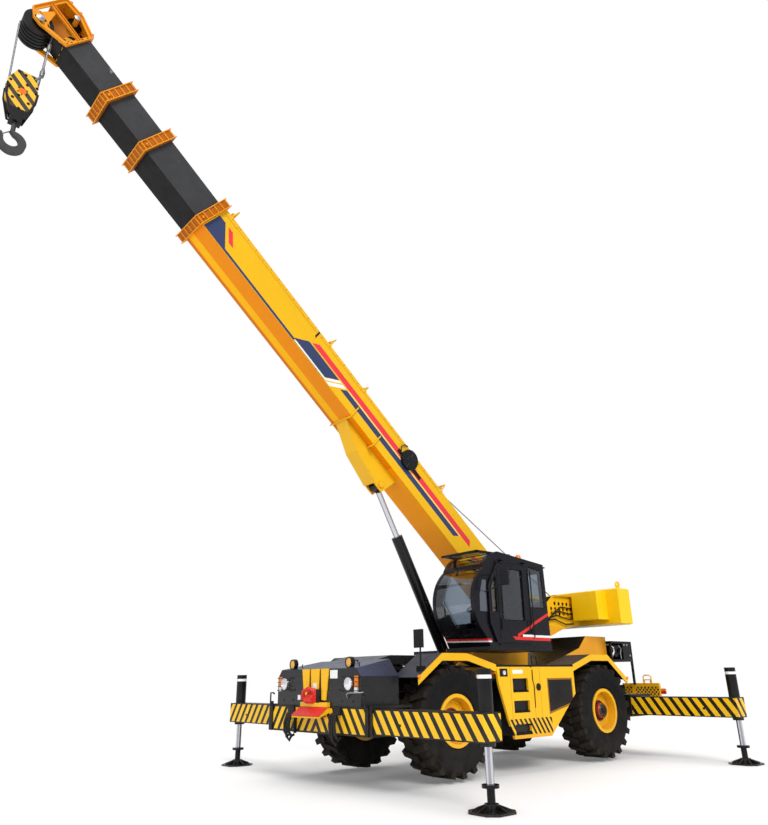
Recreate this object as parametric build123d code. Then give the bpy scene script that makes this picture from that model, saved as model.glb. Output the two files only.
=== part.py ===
from build123d import *
import math
import os

os.makedirs("parts", exist_ok=True)

# A rough terrain mobile crane standing on its outriggers, all sizes in millimetres.
# +X points to the front of the crane, +Y to its left and +Z up. The origin is the point
# on the ground under the slewing axis, midway between the two axles.

# Wheels, axles and steering
wheelbase = 3640
wheel_z = 787
wheel_y = 1035
tyre_radius = 745
tyre_width = 520
tyre_bore = 332
bead_width = 430
shoulder_drop = 55
lug_count = 20
lug_height = 42
lug_thickness = 88
lug_lean = 70
lug_overlap = 18
rim_wall = 28
rim_lip_height = 22
rim_lip_thickness = 20
rim_disc_offset = 95
rim_disc_thickness = 20
bead_gap = 0.3
hub_radius = 125
hub_length = 150
hub_start = 55
hub_cap = 18
spindle_radius = 60
shaft_fit = 0.06
kingpin_radius = 45
knuckle_radius = 54
knuckle_arm_half = 48
kingpin_y = 880
kingpin_half_height = 152
yoke_arm_thickness = 46
yoke_gap = 6
axle_tube_radius = 95
axle_tube_end = 760
differential_radius = 225
differential_width = 300
axle_seat_width = 120

# Chassis frame and outrigger boxes
rail_inner = 260
rail_width = 140
rail_bottom = 930
rail_top = 1170
rail_x_front = 3345
rail_x_rear = -3900
box_face = 3370
beam_near_x = 2850
beam_far_x = 3200
box_half_length = 1250
box_wall = 15
box_bottom = 655
box_top = 1020
box_pad_length = 60

# Outrigger beams, jacks and pads
beam_width = 300
beam_bottom = 685
beam_height = 305
beam_wall = 14
beam_inner_end = 600
beam_outer_end = 3150
beam_clearance = 5
slide_fit = 0.5
jack_y = 3070
jack_housing_radius = 85
jack_housing_top = 1450
jack_cap = 30
jack_rod_radius = 45
jack_rod_top = 1000
jack_collar_radius = 96
jack_collar_z = 240
jack_collar_height = 34
pad_side = 460
pad_plate = 22
pad_boss_radius = 80
pad_height = 92
pad_ribs = 8
pad_rib_thickness = 14

# Carrier body
body_half_width = 1300
deck_top = 1530
deck_plate = 30
deck_side_width = 180
deck_half_length = 970
deck_inner_width = 740
fender_plate = 12
fender_inner = 770
fender_skirt = 105
fender_skirt_plate = 14
side_panel_thickness = 60
step_depth = 45
tank_wall = 8
hood_front_z = 1500
hood_top_z = 1680
hood_half_width = 1020
hood_step_x = 2700
hood_sheet = 20
hood_rear_x = 1180
engine_hood_top = 2060
engine_hood_half_width = 600
hood_foot_x = -1150
rear_face_x = -3900

# Slewing ring and upper frame
ring_outer = 620
ring_inner = 480
ring_bottom = 1190
ring_height = 60
ring_gap = 5
base_disc_radius = 660
base_top = 1300
side_plate_inner = 300
side_plate_thickness = 36
platform_bottom = 1740
platform_thickness = 55

# Boom
boom_angle = 40.5
boom_pivot_x = -700
boom_pivot_z = 1950
pivot_pin_radius = 60
base_width = 540
base_top_offset = 830
base_height = 580
base_wall = 12
base_rear = -350
base_front = 8980
section_step = 44
section_wall = 9
section_rear = [900, 1620, 2500]
section_front = [10270, 11110, 11920]
ring_length = 150
ring_stand = 58
foot_plate_thickness = 24
foot_length = 700

# Boom head and hook block
head_length = 610
head_plate = 20
sheave_x = 12330
sheave_drop = 81
head_sheave_radius = 200
head_sheave_width = 42
head_sheave_pitch = 62
head_sheaves_each_side = 3
sheave_pin_radius = 36
upper_sheave_radius = 110
block_drop = 1200
block_sheave_radius = 165
block_width = 150
block_cheek = 18
crosshead_top = -360
crosshead_bottom = -500
crosshead_half = 75
rope_radius = 9
rope_seat = 0.02
hook_drop = 810
hook_thickness = 76
hook_shank_radius = 30
hook_nut_radius = 48
hook_nut_height = 50

# Luffing cylinder
cylinder_foot_x = 600
cylinder_foot_z = 1420
cylinder_eye_along = 3818
cylinder_eye_drop = -50
barrel_radius = 95
barrel_wall = 18
barrel_length = 2470
barrel_start = 150
barrel_bottom_gap = 195
rod_radius = 48
rod_length = 2340
eye_radius = 75
foot_eye_width = 130
rod_eye_width = 190
eye_pin_head = 20
eye_pin_radius = 40
foot_pin_radius = 50
cheek_plate = 26
cheek_gap = 8

# Counterweight and winches
weight_front_x = -2700
weight_depth = 560
weight_half_width = 1250
weight_bottom = 2270
weight_top = 2920
winch_x = [-1900, -2380]
winch_z = [2560, 2560]
drum_radius = 170
drum_flange_radius = 235
drum_half_width = 230
drum_flange = 18
drum_shaft_radius = 45

# Cab
cab_right = 380
cab_left = 1280
cab_bottom = 1795
cab_rear_x = -470
cab_wall = 40
pane_depth = 8
pane_thickness = 8
door_gap = 6
door_thickness = 34
door_rear_x = 60
door_front_x = 830
door_bottom = 1880
door_top = 3060
door_rail_top_z = 3090
door_rail_bottom_z = 1815
door_rail_height = 20
door_rail_width = 22
hanger_width = 60


def block(x0, x1, y0, y1, z0, z1):
    """A box between two corners."""
    centre = ((x0 + x1) / 2, (y0 + y1) / 2, (z0 + z1) / 2)
    return Pos(*centre) * Box(abs(x1 - x0), abs(y1 - y0), abs(z1 - z0))


def side_profile(points, y0, y1):
    """A prism with its outline in the XZ plane, from y0 to y1."""
    outline = Polyline(*[(x, y0, z) for x, z in points], close=True)
    return extrude(make_face(outline), amount=y1 - y0, dir=(0, 1, 0))


def front_profile(points, x0, x1):
    """A prism with its outline in the YZ plane, from x0 to x1."""
    outline = Polyline(*[(x0, y, z) for y, z in points], close=True)
    return extrude(make_face(outline), amount=x1 - x0, dir=(1, 0, 0))


def plan_profile(points, z0, z1):
    """A prism with its outline in the XY plane, from z0 to z1."""
    outline = Polyline(*[(x, y, z0) for x, y in points], close=True)
    return extrude(make_face(outline), amount=z1 - z0, dir=(0, 0, 1))


def rod_z(radius, x, y, z0, z1):
    """An upright round bar."""
    return Pos(x, y, (z0 + z1) / 2) * Cylinder(radius, z1 - z0)


def rod_y(radius, x, y0, y1, z):
    """A round bar across the crane."""
    return Pos(x, (y0 + y1) / 2, z) * Rot(90, 0, 0) * Cylinder(radius, y1 - y0)


def rod_x(radius, x0, x1, y, z):
    """A round bar along the crane."""
    return Pos((x0 + x1) / 2, y, z) * Rot(0, 90, 0) * Cylinder(radius, x1 - x0)


def turned(points):
    """A solid of revolution about the Y axis, from its (radius, y) outline."""
    outline = Polyline(*[(r, y, 0) for r, y in points], close=True)
    return revolve(make_face(outline), Axis.Y)


def inset(face, distance):
    """The same face, moved inwards by a distance."""
    return offset(face, amount=-distance, kind=Kind.ARC).face()


def hollow_profile(points, y0, y1, wall):
    """A closed sheet metal box with its outline in the XZ plane."""
    outline = make_face(Polyline(*points, close=True))
    inside = extrude(inset(outline, wall), amount=y1 - y0 - 2 * wall, dir=(0, 0, 1))
    return side_profile(points, y0, y1) - Pos(0, y1 - wall, 0) * Rot(90, 0, 0) * inside


def write(node, shape):
    """One STEP file for each node."""
    export_step(shape, f"parts/{node}.step")


corners = {
    "front_left": (1, 1),
    "front_right": (1, -1),
    "rear_left": (-1, 1),
    "rear_right": (-1, -1),
}


# Wheels: the tyre's section and the rim's section are turned about the axle
def tyre_solid():
    half = tyre_width / 2
    bead = bead_width / 2
    carcass = tyre_radius - lug_height
    section = [
        (tyre_bore + bead_gap, -bead),
        (tyre_bore + bead_gap, bead),
        (tyre_bore + rim_lip_height + 4, bead),
        (tyre_bore + 70, half - 12),
        (tyre_bore + 215, half),
        (carcass - shoulder_drop, half - 8),
        (carcass, half - 60),
        (carcass, -half + 60),
        (carcass - shoulder_drop, -half + 8),
        (tyre_bore + 215, -half),
        (tyre_bore + 70, -half + 12),
        (tyre_bore + rim_lip_height + 4, -bead),
    ]
    return turned(section)


def lug_solid(side):
    """One slanted tread bar, from the tyre's shoulder to just past its middle."""
    outer = side * (tyre_width / 2 - 12)
    inner = -side * lug_overlap
    corner = (lug_thickness + lug_lean) / 2
    outline = [
        (-corner, outer),
        (-corner + lug_thickness, outer),
        (corner, inner),
        (corner - lug_thickness, inner),
    ]
    root = tyre_radius - lug_height - shoulder_drop - 20
    top = math.sqrt(tyre_radius**2 - corner**2)
    return plan_profile(outline, root, top)


def treaded_tyre():
    """The carcass with its bars, those of one side half a step after the other's."""
    step = 360 / lug_count
    lugs = []
    for side in (1, -1):
        lug = lug_solid(side)
        for number in range(lug_count):
            lugs.append(Rot(0, (number + (side + 1) / 4) * step, 0) * lug)
    return tyre_solid() + lugs


def rim_solid():
    bead = bead_width / 2
    lip = bead + rim_lip_thickness
    barrel = turned(
        [
            (tyre_bore - rim_wall, -lip),
            (tyre_bore + rim_lip_height, -lip),
            (tyre_bore + rim_lip_height, -bead - bead_gap),
            (tyre_bore, -bead - bead_gap),
            (tyre_bore, bead + bead_gap),
            (tyre_bore + rim_lip_height, bead + bead_gap),
            (tyre_bore + rim_lip_height, lip),
            (tyre_bore - rim_wall, lip),
        ]
    )
    disc_back = rim_disc_offset
    disc_front = rim_disc_offset + rim_disc_thickness
    hub_end = hub_start + hub_length
    disc = turned(
        [
            (hub_radius - 10, disc_back),
            (tyre_bore - rim_wall + 4, disc_back - 35),
            (tyre_bore - rim_wall + 4, disc_front - 35),
            (hub_radius - 10, disc_front),
        ]
    )
    bore = spindle_radius + shaft_fit
    hub = turned(
        [
            (bore, hub_start),
            (hub_radius, hub_start),
            (hub_radius, hub_end - 30),
            (hub_radius - 30, hub_end),
            (0, hub_end),
            (0, hub_end - hub_cap),
            (bore, hub_end - hub_cap),
        ]
    )
    return barrel + disc + hub


def knuckle_solid():
    """The steering knuckle of a left wheel, about the wheel's centre."""
    pin_y = kingpin_y - wheel_y
    arm = kingpin_half_height - yoke_arm_thickness - yoke_gap
    pin = rod_z(kingpin_radius, 0, pin_y, -kingpin_half_height, kingpin_half_height)
    body = rod_z(knuckle_radius, 0, pin_y, -arm, arm)
    body = body + block(-knuckle_arm_half, knuckle_arm_half, pin_y, pin_y + 82, -arm, arm)
    flange = rod_y(98, 0, pin_y + 80, hub_start - 12, 0)
    spindle = rod_y(spindle_radius, 0, pin_y, hub_start + hub_length - hub_cap - 6, 0)
    return pin + body + flange + spindle


tyre = treaded_tyre()
rim = rim_solid()
knuckle = knuckle_solid()
for corner, (fore, side) in corners.items():
    turn = 0 if side > 0 else 180
    place = Pos(fore * wheelbase / 2, side * wheel_y, wheel_z) * Rot(0, 0, turn)
    write(f"tyre_{corner}", place * tyre)
    write(f"rim_{corner}", place * rim)
    write(f"knuckle_{corner}", place * knuckle)


# Axles: tube, differential case, seats under the rails and a yoke at each end
def axle_solid():
    tube = rod_y(axle_tube_radius, 0, -axle_tube_end, axle_tube_end, 0)
    case = Pos(0, 0, 0) * Sphere(differential_radius)
    case = case & block(-400, 400, -differential_width / 2, differential_width / 2, -400, 400)
    whole = tube + case
    seat_middle = rail_inner + rail_width / 2
    reach = kingpin_y + kingpin_radius + 24
    for side in (1, -1):
        y0 = side * (seat_middle - axle_seat_width / 2)
        y1 = side * (seat_middle + axle_seat_width / 2)
        whole = whole + block(-105, 105, y0, y1, 0, rail_bottom - wheel_z)
        web_y0 = side * (axle_tube_end - 30)
        web_y1 = side * (kingpin_y - 60)
        whole = whole + block(-66, 66, web_y0, web_y1, -kingpin_half_height, kingpin_half_height)
        for up in (1, -1):
            z0 = up * (kingpin_half_height - yoke_arm_thickness)
            z1 = up * kingpin_half_height
            whole = whole + block(-66, 66, side * (kingpin_y - 62), side * reach, z0, z1)
        bore = rod_z(kingpin_radius + shaft_fit, 0, side * kingpin_y, -400, 400)
        whole = whole - bore
    return whole


axle = axle_solid()
write("front_axle", Pos(wheelbase / 2, 0, wheel_z) * axle)
write("rear_axle", Pos(-wheelbase / 2, 0, wheel_z) * axle)


# Chassis frame with a two cell outrigger box at each end
def outrigger_box():
    """The front box: the left beam slides in the far cell, the right beam in the near one."""
    near = beam_near_x - beam_width / 2 - beam_clearance - box_wall
    shell = block(near, box_face, -box_half_length, box_half_length, box_bottom, box_top)
    for x in (beam_near_x, beam_far_x):
        half = beam_width / 2 + beam_clearance
        z0 = beam_bottom - beam_clearance
        z1 = beam_bottom + beam_height + beam_clearance
        reach = box_half_length - box_pad_length
        shell = shell - block(x - half, x + half, -reach, reach, z0, z1)
        z0 = beam_bottom - slide_fit
        z1 = beam_bottom + beam_height + slide_fit
        shell = shell - block(x - half, x + half, -box_half_length - 1, box_half_length + 1, z0, z1)
    return shell


def chassis_solid():
    front_box = outrigger_box()
    rear_box = Rot(0, 0, 180) * front_box
    near = beam_near_x - beam_width / 2 - beam_clearance - box_wall
    frame = front_box + rear_box
    for side in (1, -1):
        y0 = side * rail_inner
        y1 = side * (rail_inner + rail_width)
        frame = frame + block(rail_x_rear, rail_x_front, y0, y1, box_top, rail_top)
        frame = frame + block(-near, near, y0, y1, rail_bottom, box_top)
    for x in (-3800, -1150, 1150, 2500):
        frame = frame + block(x - 60, x + 60, -rail_inner, rail_inner, box_top, rail_top)
    frame = frame + rod_z(base_disc_radius + 40, 0, 0, rail_top - 20, ring_bottom)
    return frame


write("chassis_frame", chassis_solid())


# Outrigger beams: a tube with the jack's housing at its outer end
def beam_solid():
    """The front left beam about x = 0, with its length along +Y."""
    half = beam_width / 2
    z0 = beam_bottom
    z1 = beam_bottom + beam_height
    tube = block(-half, half, beam_inner_end, beam_outer_end, z0, z1)
    hollow = block(
        -half + beam_wall,
        half - beam_wall,
        beam_inner_end - 1,
        jack_y - jack_housing_radius - 60,
        z0 + beam_wall,
        z1 - beam_wall,
    )
    housing = rod_z(jack_housing_radius, 0, jack_y, beam_bottom - 40, jack_housing_top)
    bore = rod_z(jack_rod_radius + shaft_fit, 0, jack_y, beam_bottom - 60, jack_housing_top - jack_cap)
    return tube - hollow + housing - bore


def jack_solid():
    """The jack's rod with its collar."""
    rod = rod_z(jack_rod_radius, 0, jack_y, pad_height - 20, jack_rod_top)
    collar = rod_z(jack_collar_radius, 0, jack_y, jack_collar_z, jack_collar_z + jack_collar_height)
    return rod + collar


def pad_solid():
    """A square float with a boss and ribs that slope to its edge."""
    half = pad_side / 2
    cut = pad_side * 0.22
    outline = [
        (-half, -half + cut),
        (-half + cut, -half),
        (half - cut, -half),
        (half, -half + cut),
        (half, half - cut),
        (half - cut, half),
        (-half + cut, half),
        (-half, half - cut),
    ]
    plate = plan_profile(outline, 0, pad_plate)
    boss = Pos(0, 0, pad_plate - 1) * Cylinder(pad_boss_radius, pad_height - pad_plate, align=(Align.CENTER, Align.CENTER, Align.MIN))
    pad = plate + boss
    rib = side_profile(
        [(0, pad_plate - 1), (half - 12, pad_plate - 1), (half - 12, pad_plate + 12), (pad_boss_radius, pad_height - 10), (0, pad_height - 10)],
        -pad_rib_thickness / 2,
        pad_rib_thickness / 2,
    )
    for number in range(pad_ribs):
        pad = pad + Rot(0, 0, number * 360 / pad_ribs) * rib
    socket = rod_z(jack_rod_radius + bead_gap, 0, 0, pad_height - 20, pad_height + 20)
    return Pos(0, jack_y, 0) * (pad - socket)


beam = beam_solid()
jack = jack_solid()
pad = pad_solid()
for corner, (fore, side) in corners.items():
    x = beam_far_x if fore * side > 0 else beam_near_x
    turn = 0 if side > 0 else 180
    place = Pos(fore * x, 0, 0) * Rot(0, 0, turn)
    write(f"outrigger_beam_{corner}", place * beam)
    write(f"outrigger_jack_{corner}", place * jack)
    write(f"outrigger_pad_{corner}", place * pad)


# Carrier deck: plates round the open circle in which the upper frame turns
def deck_solid():
    z0 = deck_top - deck_plate
    middle = block(-deck_half_length, deck_half_length, -body_half_width + 10, body_half_width - 10, z0, deck_top)
    rear = block(hood_foot_x, -deck_half_length, -deck_inner_width, deck_inner_width, z0, deck_top)
    opening_radius = body_half_width - deck_side_width
    opening = rod_z(opening_radius, 0, 0, z0 - 1, deck_top + 1)
    return middle + rear - opening


write("carrier_deck", deck_solid())

# Fenders: a bent plate over each wheel with a skirt along its outer edge
fender_line = {
    1: [(2590, 1370), (2110, 1690), (1590, 1690), (deck_half_length, 1535)],
    -1: [(-deck_half_length, 1535), (-1510, 1700), (-2030, 1700), (-2590, 1290)],
}


def fender_solid(fore, side):
    line = fender_line[fore]
    top = line + [(x, z - fender_plate) for x, z in reversed(line)]
    skirt = line + [(x, z - fender_skirt) for x, z in reversed(line)]
    inner = side * fender_inner
    outer = side * body_half_width
    sheet = side_profile(top, min(inner, outer), max(inner, outer))
    skirt_inner = side * (body_half_width - fender_skirt_plate)
    rim_strip = side_profile(skirt, min(skirt_inner, outer), max(skirt_inner, outer))
    return sheet + rim_strip


fenders = [fender_solid(fore, side) for fore, side in corners.values()]
write("fenders", Compound(children=fenders))


# Side boxes between the wheels with the climbing steps cut in them
side_outline = [
    (deck_half_length, deck_top - deck_plate),
    (930, 1250),
    (760, 760),
    (640, 480),
    (-250, 480),
    (-deck_half_length, 1080),
    (-deck_half_length, deck_top - deck_plate),
]
step_width = (240, 610)
step_rows = [(1140, 1330), (850, 1010), (540, 680)]


tank_outline = [(700, 1150), (690, 760), (600, 520), (-240, 520), (-900, 1090), (-900, 1150)]


def side_box(side):
    """An outer panel with its steps, and the tank that carries it on the rail."""
    outer = side * body_half_width
    inner = side * (body_half_width - side_panel_thickness)
    back = side * (rail_inner + rail_width)
    box = side_profile(side_outline, min(outer, inner), max(outer, inner))
    for low, high in step_rows:
        step_back = side * (body_half_width - step_depth)
        box = box - block(step_width[0], step_width[1], outer * 1.01, step_back, low, high)
    return box + hollow_profile(tank_outline, min(back, inner), max(back, inner), tank_wall)


write("side_boxes", Compound(children=[side_box(1), side_box(-1)]))

# Front hood: a wide nose over the outrigger box and a narrower back between the wheels
nose_outline = [(box_face, box_top), (box_face, hood_front_z), (hood_step_x, 1620), (hood_step_x, box_top)]
nose = side_profile(nose_outline, -hood_half_width, hood_half_width)
chamfer_line = [(740, 1720), (1100, 1720), (1100, 1300)]
chamfer_cut = front_profile(chamfer_line, 2600, box_face + 10)
nose = nose - chamfer_cut - mirror(chamfer_cut, Plane.XZ)
room_outline = [
    (box_face - hood_sheet, box_top - 1),
    (box_face - hood_sheet, hood_front_z - hood_sheet),
    (hood_step_x + hood_sheet, 1620 - hood_sheet),
    (hood_step_x + hood_sheet, box_top - 1),
]
room = side_profile(room_outline, -hood_half_width + hood_sheet, hood_half_width - hood_sheet)
room_chamfer = front_profile([(y - 26, z) for y, z in chamfer_line[:2]] + [(1100 - 26, 1300)], 2600, box_face + 10)
room = room - room_chamfer - mirror(room_chamfer, Plane.XZ)
nose = nose - room
rail_notch = block(hood_step_x - 10, hood_step_x + 40, rail_inner - 5, rail_inner + rail_width + 5, box_top - 1, rail_top + 1)
nose = nose - rail_notch - mirror(rail_notch, Plane.XZ)
back_line = [(2710, 1500), (2710, 1615), (2450, hood_top_z), (1500, hood_top_z), (hood_rear_x, 1540), (hood_rear_x, 1500)]
back = side_profile(back_line, -560, 560)
back_room = [(2700, 1499), (2700, 1600), (2450, 1666), (1504, 1666), (hood_rear_x + 14, 1530), (hood_rear_x + 14, 1499)]
back = back - side_profile(back_room, -546, 546)
wheel_room = block(hood_rear_x - 10, 2650, 400, 700, 1480, 1550)
back = back - wheel_room - mirror(wheel_room, Plane.XZ)
back = back + block(hood_rear_x, hood_rear_x + hood_sheet, -390, 390, rail_top, 1520)
back = back + block(2400, 2400 + hood_sheet, -390, 390, rail_top, 1670)
write("front_hood", nose + back)

# Rear engine hood, the engine as one block and the rear housing
hood_line = [
    (hood_foot_x, deck_top),
    (-2200, 1840),
    (-2440, engine_hood_top),
    (-3100, engine_hood_top),
    (-3100, rail_top),
    (-3060, rail_top),
    (-3060, engine_hood_top - 40),
    (-2460, engine_hood_top - 40),
    (-2220, 1800),
    (hood_foot_x, deck_top - deck_plate),
]
engine_hood = side_profile(hood_line, -engine_hood_half_width, engine_hood_half_width)
side_sheet_line = [(-1500, 1500), (-1500, 1620), (-2210, 1820), (-2450, engine_hood_top - 20), (-3080, engine_hood_top - 20), (-3080, 1600), (-2440, 1600)]
side_sheet = side_profile(side_sheet_line, engine_hood_half_width - 14, engine_hood_half_width)
engine_hood = engine_hood + side_sheet + mirror(side_sheet, Plane.XZ)
write("engine_hood", engine_hood)
write("engine_block", block(-3000, -1950, -rail_inner, rail_inner, 1100, 1620))
housing_outline = [(rear_face_x + 60, rail_top), (-3100, rail_top), (-3100, 1980), (rear_face_x + 60, 1980)]
rear_housing = hollow_profile(housing_outline, -700, 700, tank_wall)
write("rear_housing", rear_housing)

# Rear guard with handle loops, tow coupling and lamps
guard = block(rear_face_x - 60, rear_face_x, -1150, 1150, 880, rail_top)
for y in (-900, 900):
    for post in (y - 60, y + 60):
        guard = guard + rod_z(9, rear_face_x - 30, post, rail_top - 5, rail_top + 90)
    guard = guard + rod_y(9, rear_face_x - 30, y - 69, y + 69, rail_top + 90)
guard = guard + block(rear_face_x, -3370, -400, 400, 900, box_top)
write("rear_guard", guard)

# Front bumper gear: the folded step and its bar
step_line = [(box_face, 1000), (box_face, 930), (3560, 860), (3560, 880), (3400, 1000)]
step_plate = side_profile(step_line, -330, 330)
step_bar = block(box_face, 3420, -330, 330, 1000, 1060)
write("front_step", step_plate + step_bar)

# Headlamps and rear lamps
lamp_places = [(box_face, -790, 1300), (box_face, 790, 1300)]
lamps = []
for x, y, z in lamp_places:
    lamps.append(rod_x(82, x, x + 40, y, z))
for side in (1, -1):
    lamps.append(block(rear_face_x - 40, rear_face_x - 62, side * 1150, side * 1250, 1000, 1100))
write("lamps", Compound(children=lamps))

# Mirror on a pole, its foot on the front left fender's slope
slope = (1690 - 1370) / (2590 - 2110)
foot_top = 1690 - slope * (2400 - 2110)
foot_line = [(2400, foot_top), (2480, foot_top - slope * 80), (2480, foot_top + 20), (2400, foot_top + 20)]
mirror_foot = side_profile(foot_line, 1150, 1250)
mirror_pole = rod_z(12, 2440, 1200, foot_top + 15, 1960) + block(2425, 2455, 1080, 1260, 1760, 2010)
write("front_mirror", mirror_pole + mirror_foot)

# Slewing ring, fixed to the frame
fixed_ring = rod_z(ring_outer, 0, 0, ring_bottom, ring_bottom + ring_height)
fixed_ring = fixed_ring - rod_z(ring_inner, 0, 0, ring_bottom - 1, ring_bottom + ring_height + 1)
write("slewing_ring", fixed_ring)


# Upper frame: base disc and spigot, two side plates, cab platform and the arms of the weight
def upper_frame_solid():
    spigot = rod_z(ring_inner - shaft_fit, 0, 0, ring_bottom + ring_gap, base_top)
    disc = rod_z(base_disc_radius, 0, 0, ring_bottom + ring_height + ring_gap, base_top)
    frame = spigot + disc
    plate_outline = [
        (840, base_top - 5),
        (840, 1540),
        (300, 1790),
        (-420, 2110),
        (-620, 2160),
        (-900, 2160),
        (-1150, 2320),
        (weight_front_x, 2480),
        (weight_front_x, 2290),
        (-2150, 2200),
        (-1500, 1980),
        (-1000, 1740),
        (-940, base_top - 5),
    ]
    for side in (1, -1):
        inner = side * side_plate_inner
        outer = side * (side_plate_inner + side_plate_thickness)
        plate = side_profile(plate_outline, min(inner, outer), max(inner, outer))
        frame = frame + plate
    floor = block(-940, 840, -side_plate_inner, side_plate_inner, base_top - 5, base_top + 20)
    frame = frame + floor
    top = platform_bottom + platform_thickness
    edge = side_plate_inner + side_plate_thickness
    frame = frame + block(-480, 1060, edge, cab_left, platform_bottom, top)
    frame = frame + block(-900, 600, -950, -edge, platform_bottom, top)
    tie = block(weight_front_x, -1600, -side_plate_inner, side_plate_inner, 2290, 2320)
    frame = frame + tie
    pivot_bore = rod_y(pivot_pin_radius + shaft_fit, boom_pivot_x, -400, 400, boom_pivot_z)
    foot_bore = rod_y(foot_pin_radius + shaft_fit, cylinder_foot_x, -400, 400, cylinder_foot_z)
    frame = frame - pivot_bore - foot_bore
    for side in (1, -1):
        y0 = foot_eye_width / 2 + cheek_gap
        y1 = y0 + 40
        cheek = block(cylinder_foot_x - 90, cylinder_foot_x + 90, side * y0, side * y1, base_top, cylinder_foot_z + 80)
        frame = frame + cheek
    frame = frame - foot_bore
    for x, z in zip(winch_x, winch_z):
        for side in (1, -1):
            y0 = side * (drum_half_width + drum_flange + 12)
            y1 = side * side_plate_inner
            cheek = side_profile(
                [(x - 150, 2300), (x + 150, 2300), (x + 70, z + 70), (x - 70, z + 70)],
                min(y0, y1),
                max(y0, y1),
            )
            frame = frame + cheek
        frame = frame - rod_y(drum_shaft_radius + shaft_fit, x, -400, 400, z)
    return frame


write("upper_frame", upper_frame_solid())


# Winch drums on their shafts
def drum_solid(x, z):
    inner = drum_half_width
    drum = rod_y(drum_radius, x, -inner, inner, z)
    for side in (1, -1):
        y0 = side * inner
        y1 = side * (inner + drum_flange)
        drum = drum + rod_y(drum_flange_radius, x, min(y0, y1), max(y0, y1), z)
    return drum + rod_y(drum_shaft_radius, x, -side_plate_inner + 2, side_plate_inner - 2, z)


for name, x, z in zip(("main", "auxiliary"), winch_x, winch_z):
    write(f"{name}_winch_drum", drum_solid(x, z))

# Counterweight
weight = block(weight_front_x - weight_depth, weight_front_x, -weight_half_width, weight_half_width, weight_bottom, weight_top)
weight = chamfer(weight.edges().filter_by(Axis.Z).group_by(Axis.X)[0], 160)
weight = chamfer(weight.edges().group_by(Axis.Z)[-1], 20)
for side in (1, -1):
    eye = side_profile(
        [(weight_front_x - 330, weight_top - 5), (weight_front_x - 210, weight_top - 5), (weight_front_x - 240, weight_top + 80), (weight_front_x - 300, weight_top + 80)],
        side * 1100 - 15,
        side * 1100 + 15,
    )
    weight = weight + (eye - rod_y(22, weight_front_x - 270, side * 1100 - 30, side * 1100 + 30, weight_top + 40))
write("counterweight", weight)

# Cab: a hollow shell with its windows cut, the door apart
def cab_face():
    """The cab's side view: a bowed windscreen under a rounded brow."""
    return make_face(
        Curve()
        + [
            Line((cab_rear_x, cab_bottom), (1040, cab_bottom)),
            Line((1040, cab_bottom), (1130, 1960)),
            ThreePointArc((1130, 1960), (1372, 2420), (1110, 2985)),
            ThreePointArc((1110, 2985), (960, 3175), (740, 3270)),
            Line((740, 3270), (cab_rear_x + 40, 3150)),
            Line((cab_rear_x + 40, 3150), (cab_rear_x, cab_bottom)),
        ]
    )


def cab_prism(distance, y0, y1):
    face = cab_face() if distance == 0 else inset(cab_face(), distance)
    return Pos(0, y1, 0) * Rot(90, 0, 0) * extrude(face, amount=y1 - y0, dir=(0, 0, 1))


left_window = [(0, 2420), (cab_rear_x + 90, 2420), (cab_rear_x + 110, 3040), (0, 3080)]
right_window = [(900, 2150), (cab_rear_x + 90, 2300), (cab_rear_x + 110, 3040), (720, 3120), (1000, 2900), (1180, 2500)]
front_opening = block(1000, 1500, cab_right + 60, cab_left - 60, 2050, 2980)
roof_opening = block(300, 1250, cab_right + 90, cab_left - 90, 3060, 3400)
rear_opening = block(cab_rear_x - 50, cab_rear_x + 100, cab_right + 120, cab_left - 120, 2420, 3020)


def cab_solid():
    shell = cab_prism(0, cab_right, cab_left) - cab_prism(cab_wall, cab_right + cab_wall, cab_left - cab_wall)
    shell = shell - side_profile(left_window, cab_left - cab_wall - 5, cab_left + 5)
    shell = shell - side_profile(right_window, cab_right - 5, cab_right + cab_wall + 5)
    door_hole = [
        (door_rear_x, door_bottom),
        (door_front_x + 60, door_bottom),
        (door_front_x + 190, 2150),
        (door_front_x + 190, 2700),
        (door_front_x - 40, door_top),
        (door_rear_x, door_top),
    ]
    shell = shell - side_profile(door_hole, cab_left - cab_wall - 5, cab_left + 5)
    shell = shell - front_opening - roof_opening - rear_opening
    for z in (door_rail_top_z, door_rail_bottom_z):
        shell = shell + block(cab_rear_x + 20, door_front_x, cab_left - 5, cab_left + door_rail_width, z, z + door_rail_height)
    return shell


write("cab_shell", cab_solid())

# Panes, each filling its opening near the wall's outer face
skin = cab_prism(pane_depth, cab_right, cab_left) - cab_prism(pane_depth + pane_thickness, cab_right - 1, cab_left + 1)
panes = [skin & front_opening, skin & roof_opening, skin & rear_opening]
panes.append(side_profile(left_window, cab_left - pane_depth - pane_thickness, cab_left - pane_depth))
panes.append(side_profile(right_window, cab_right + pane_depth, cab_right + pane_depth + pane_thickness))
write("cab_glass", Compound(children=[pane.solid() for pane in panes]))

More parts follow.
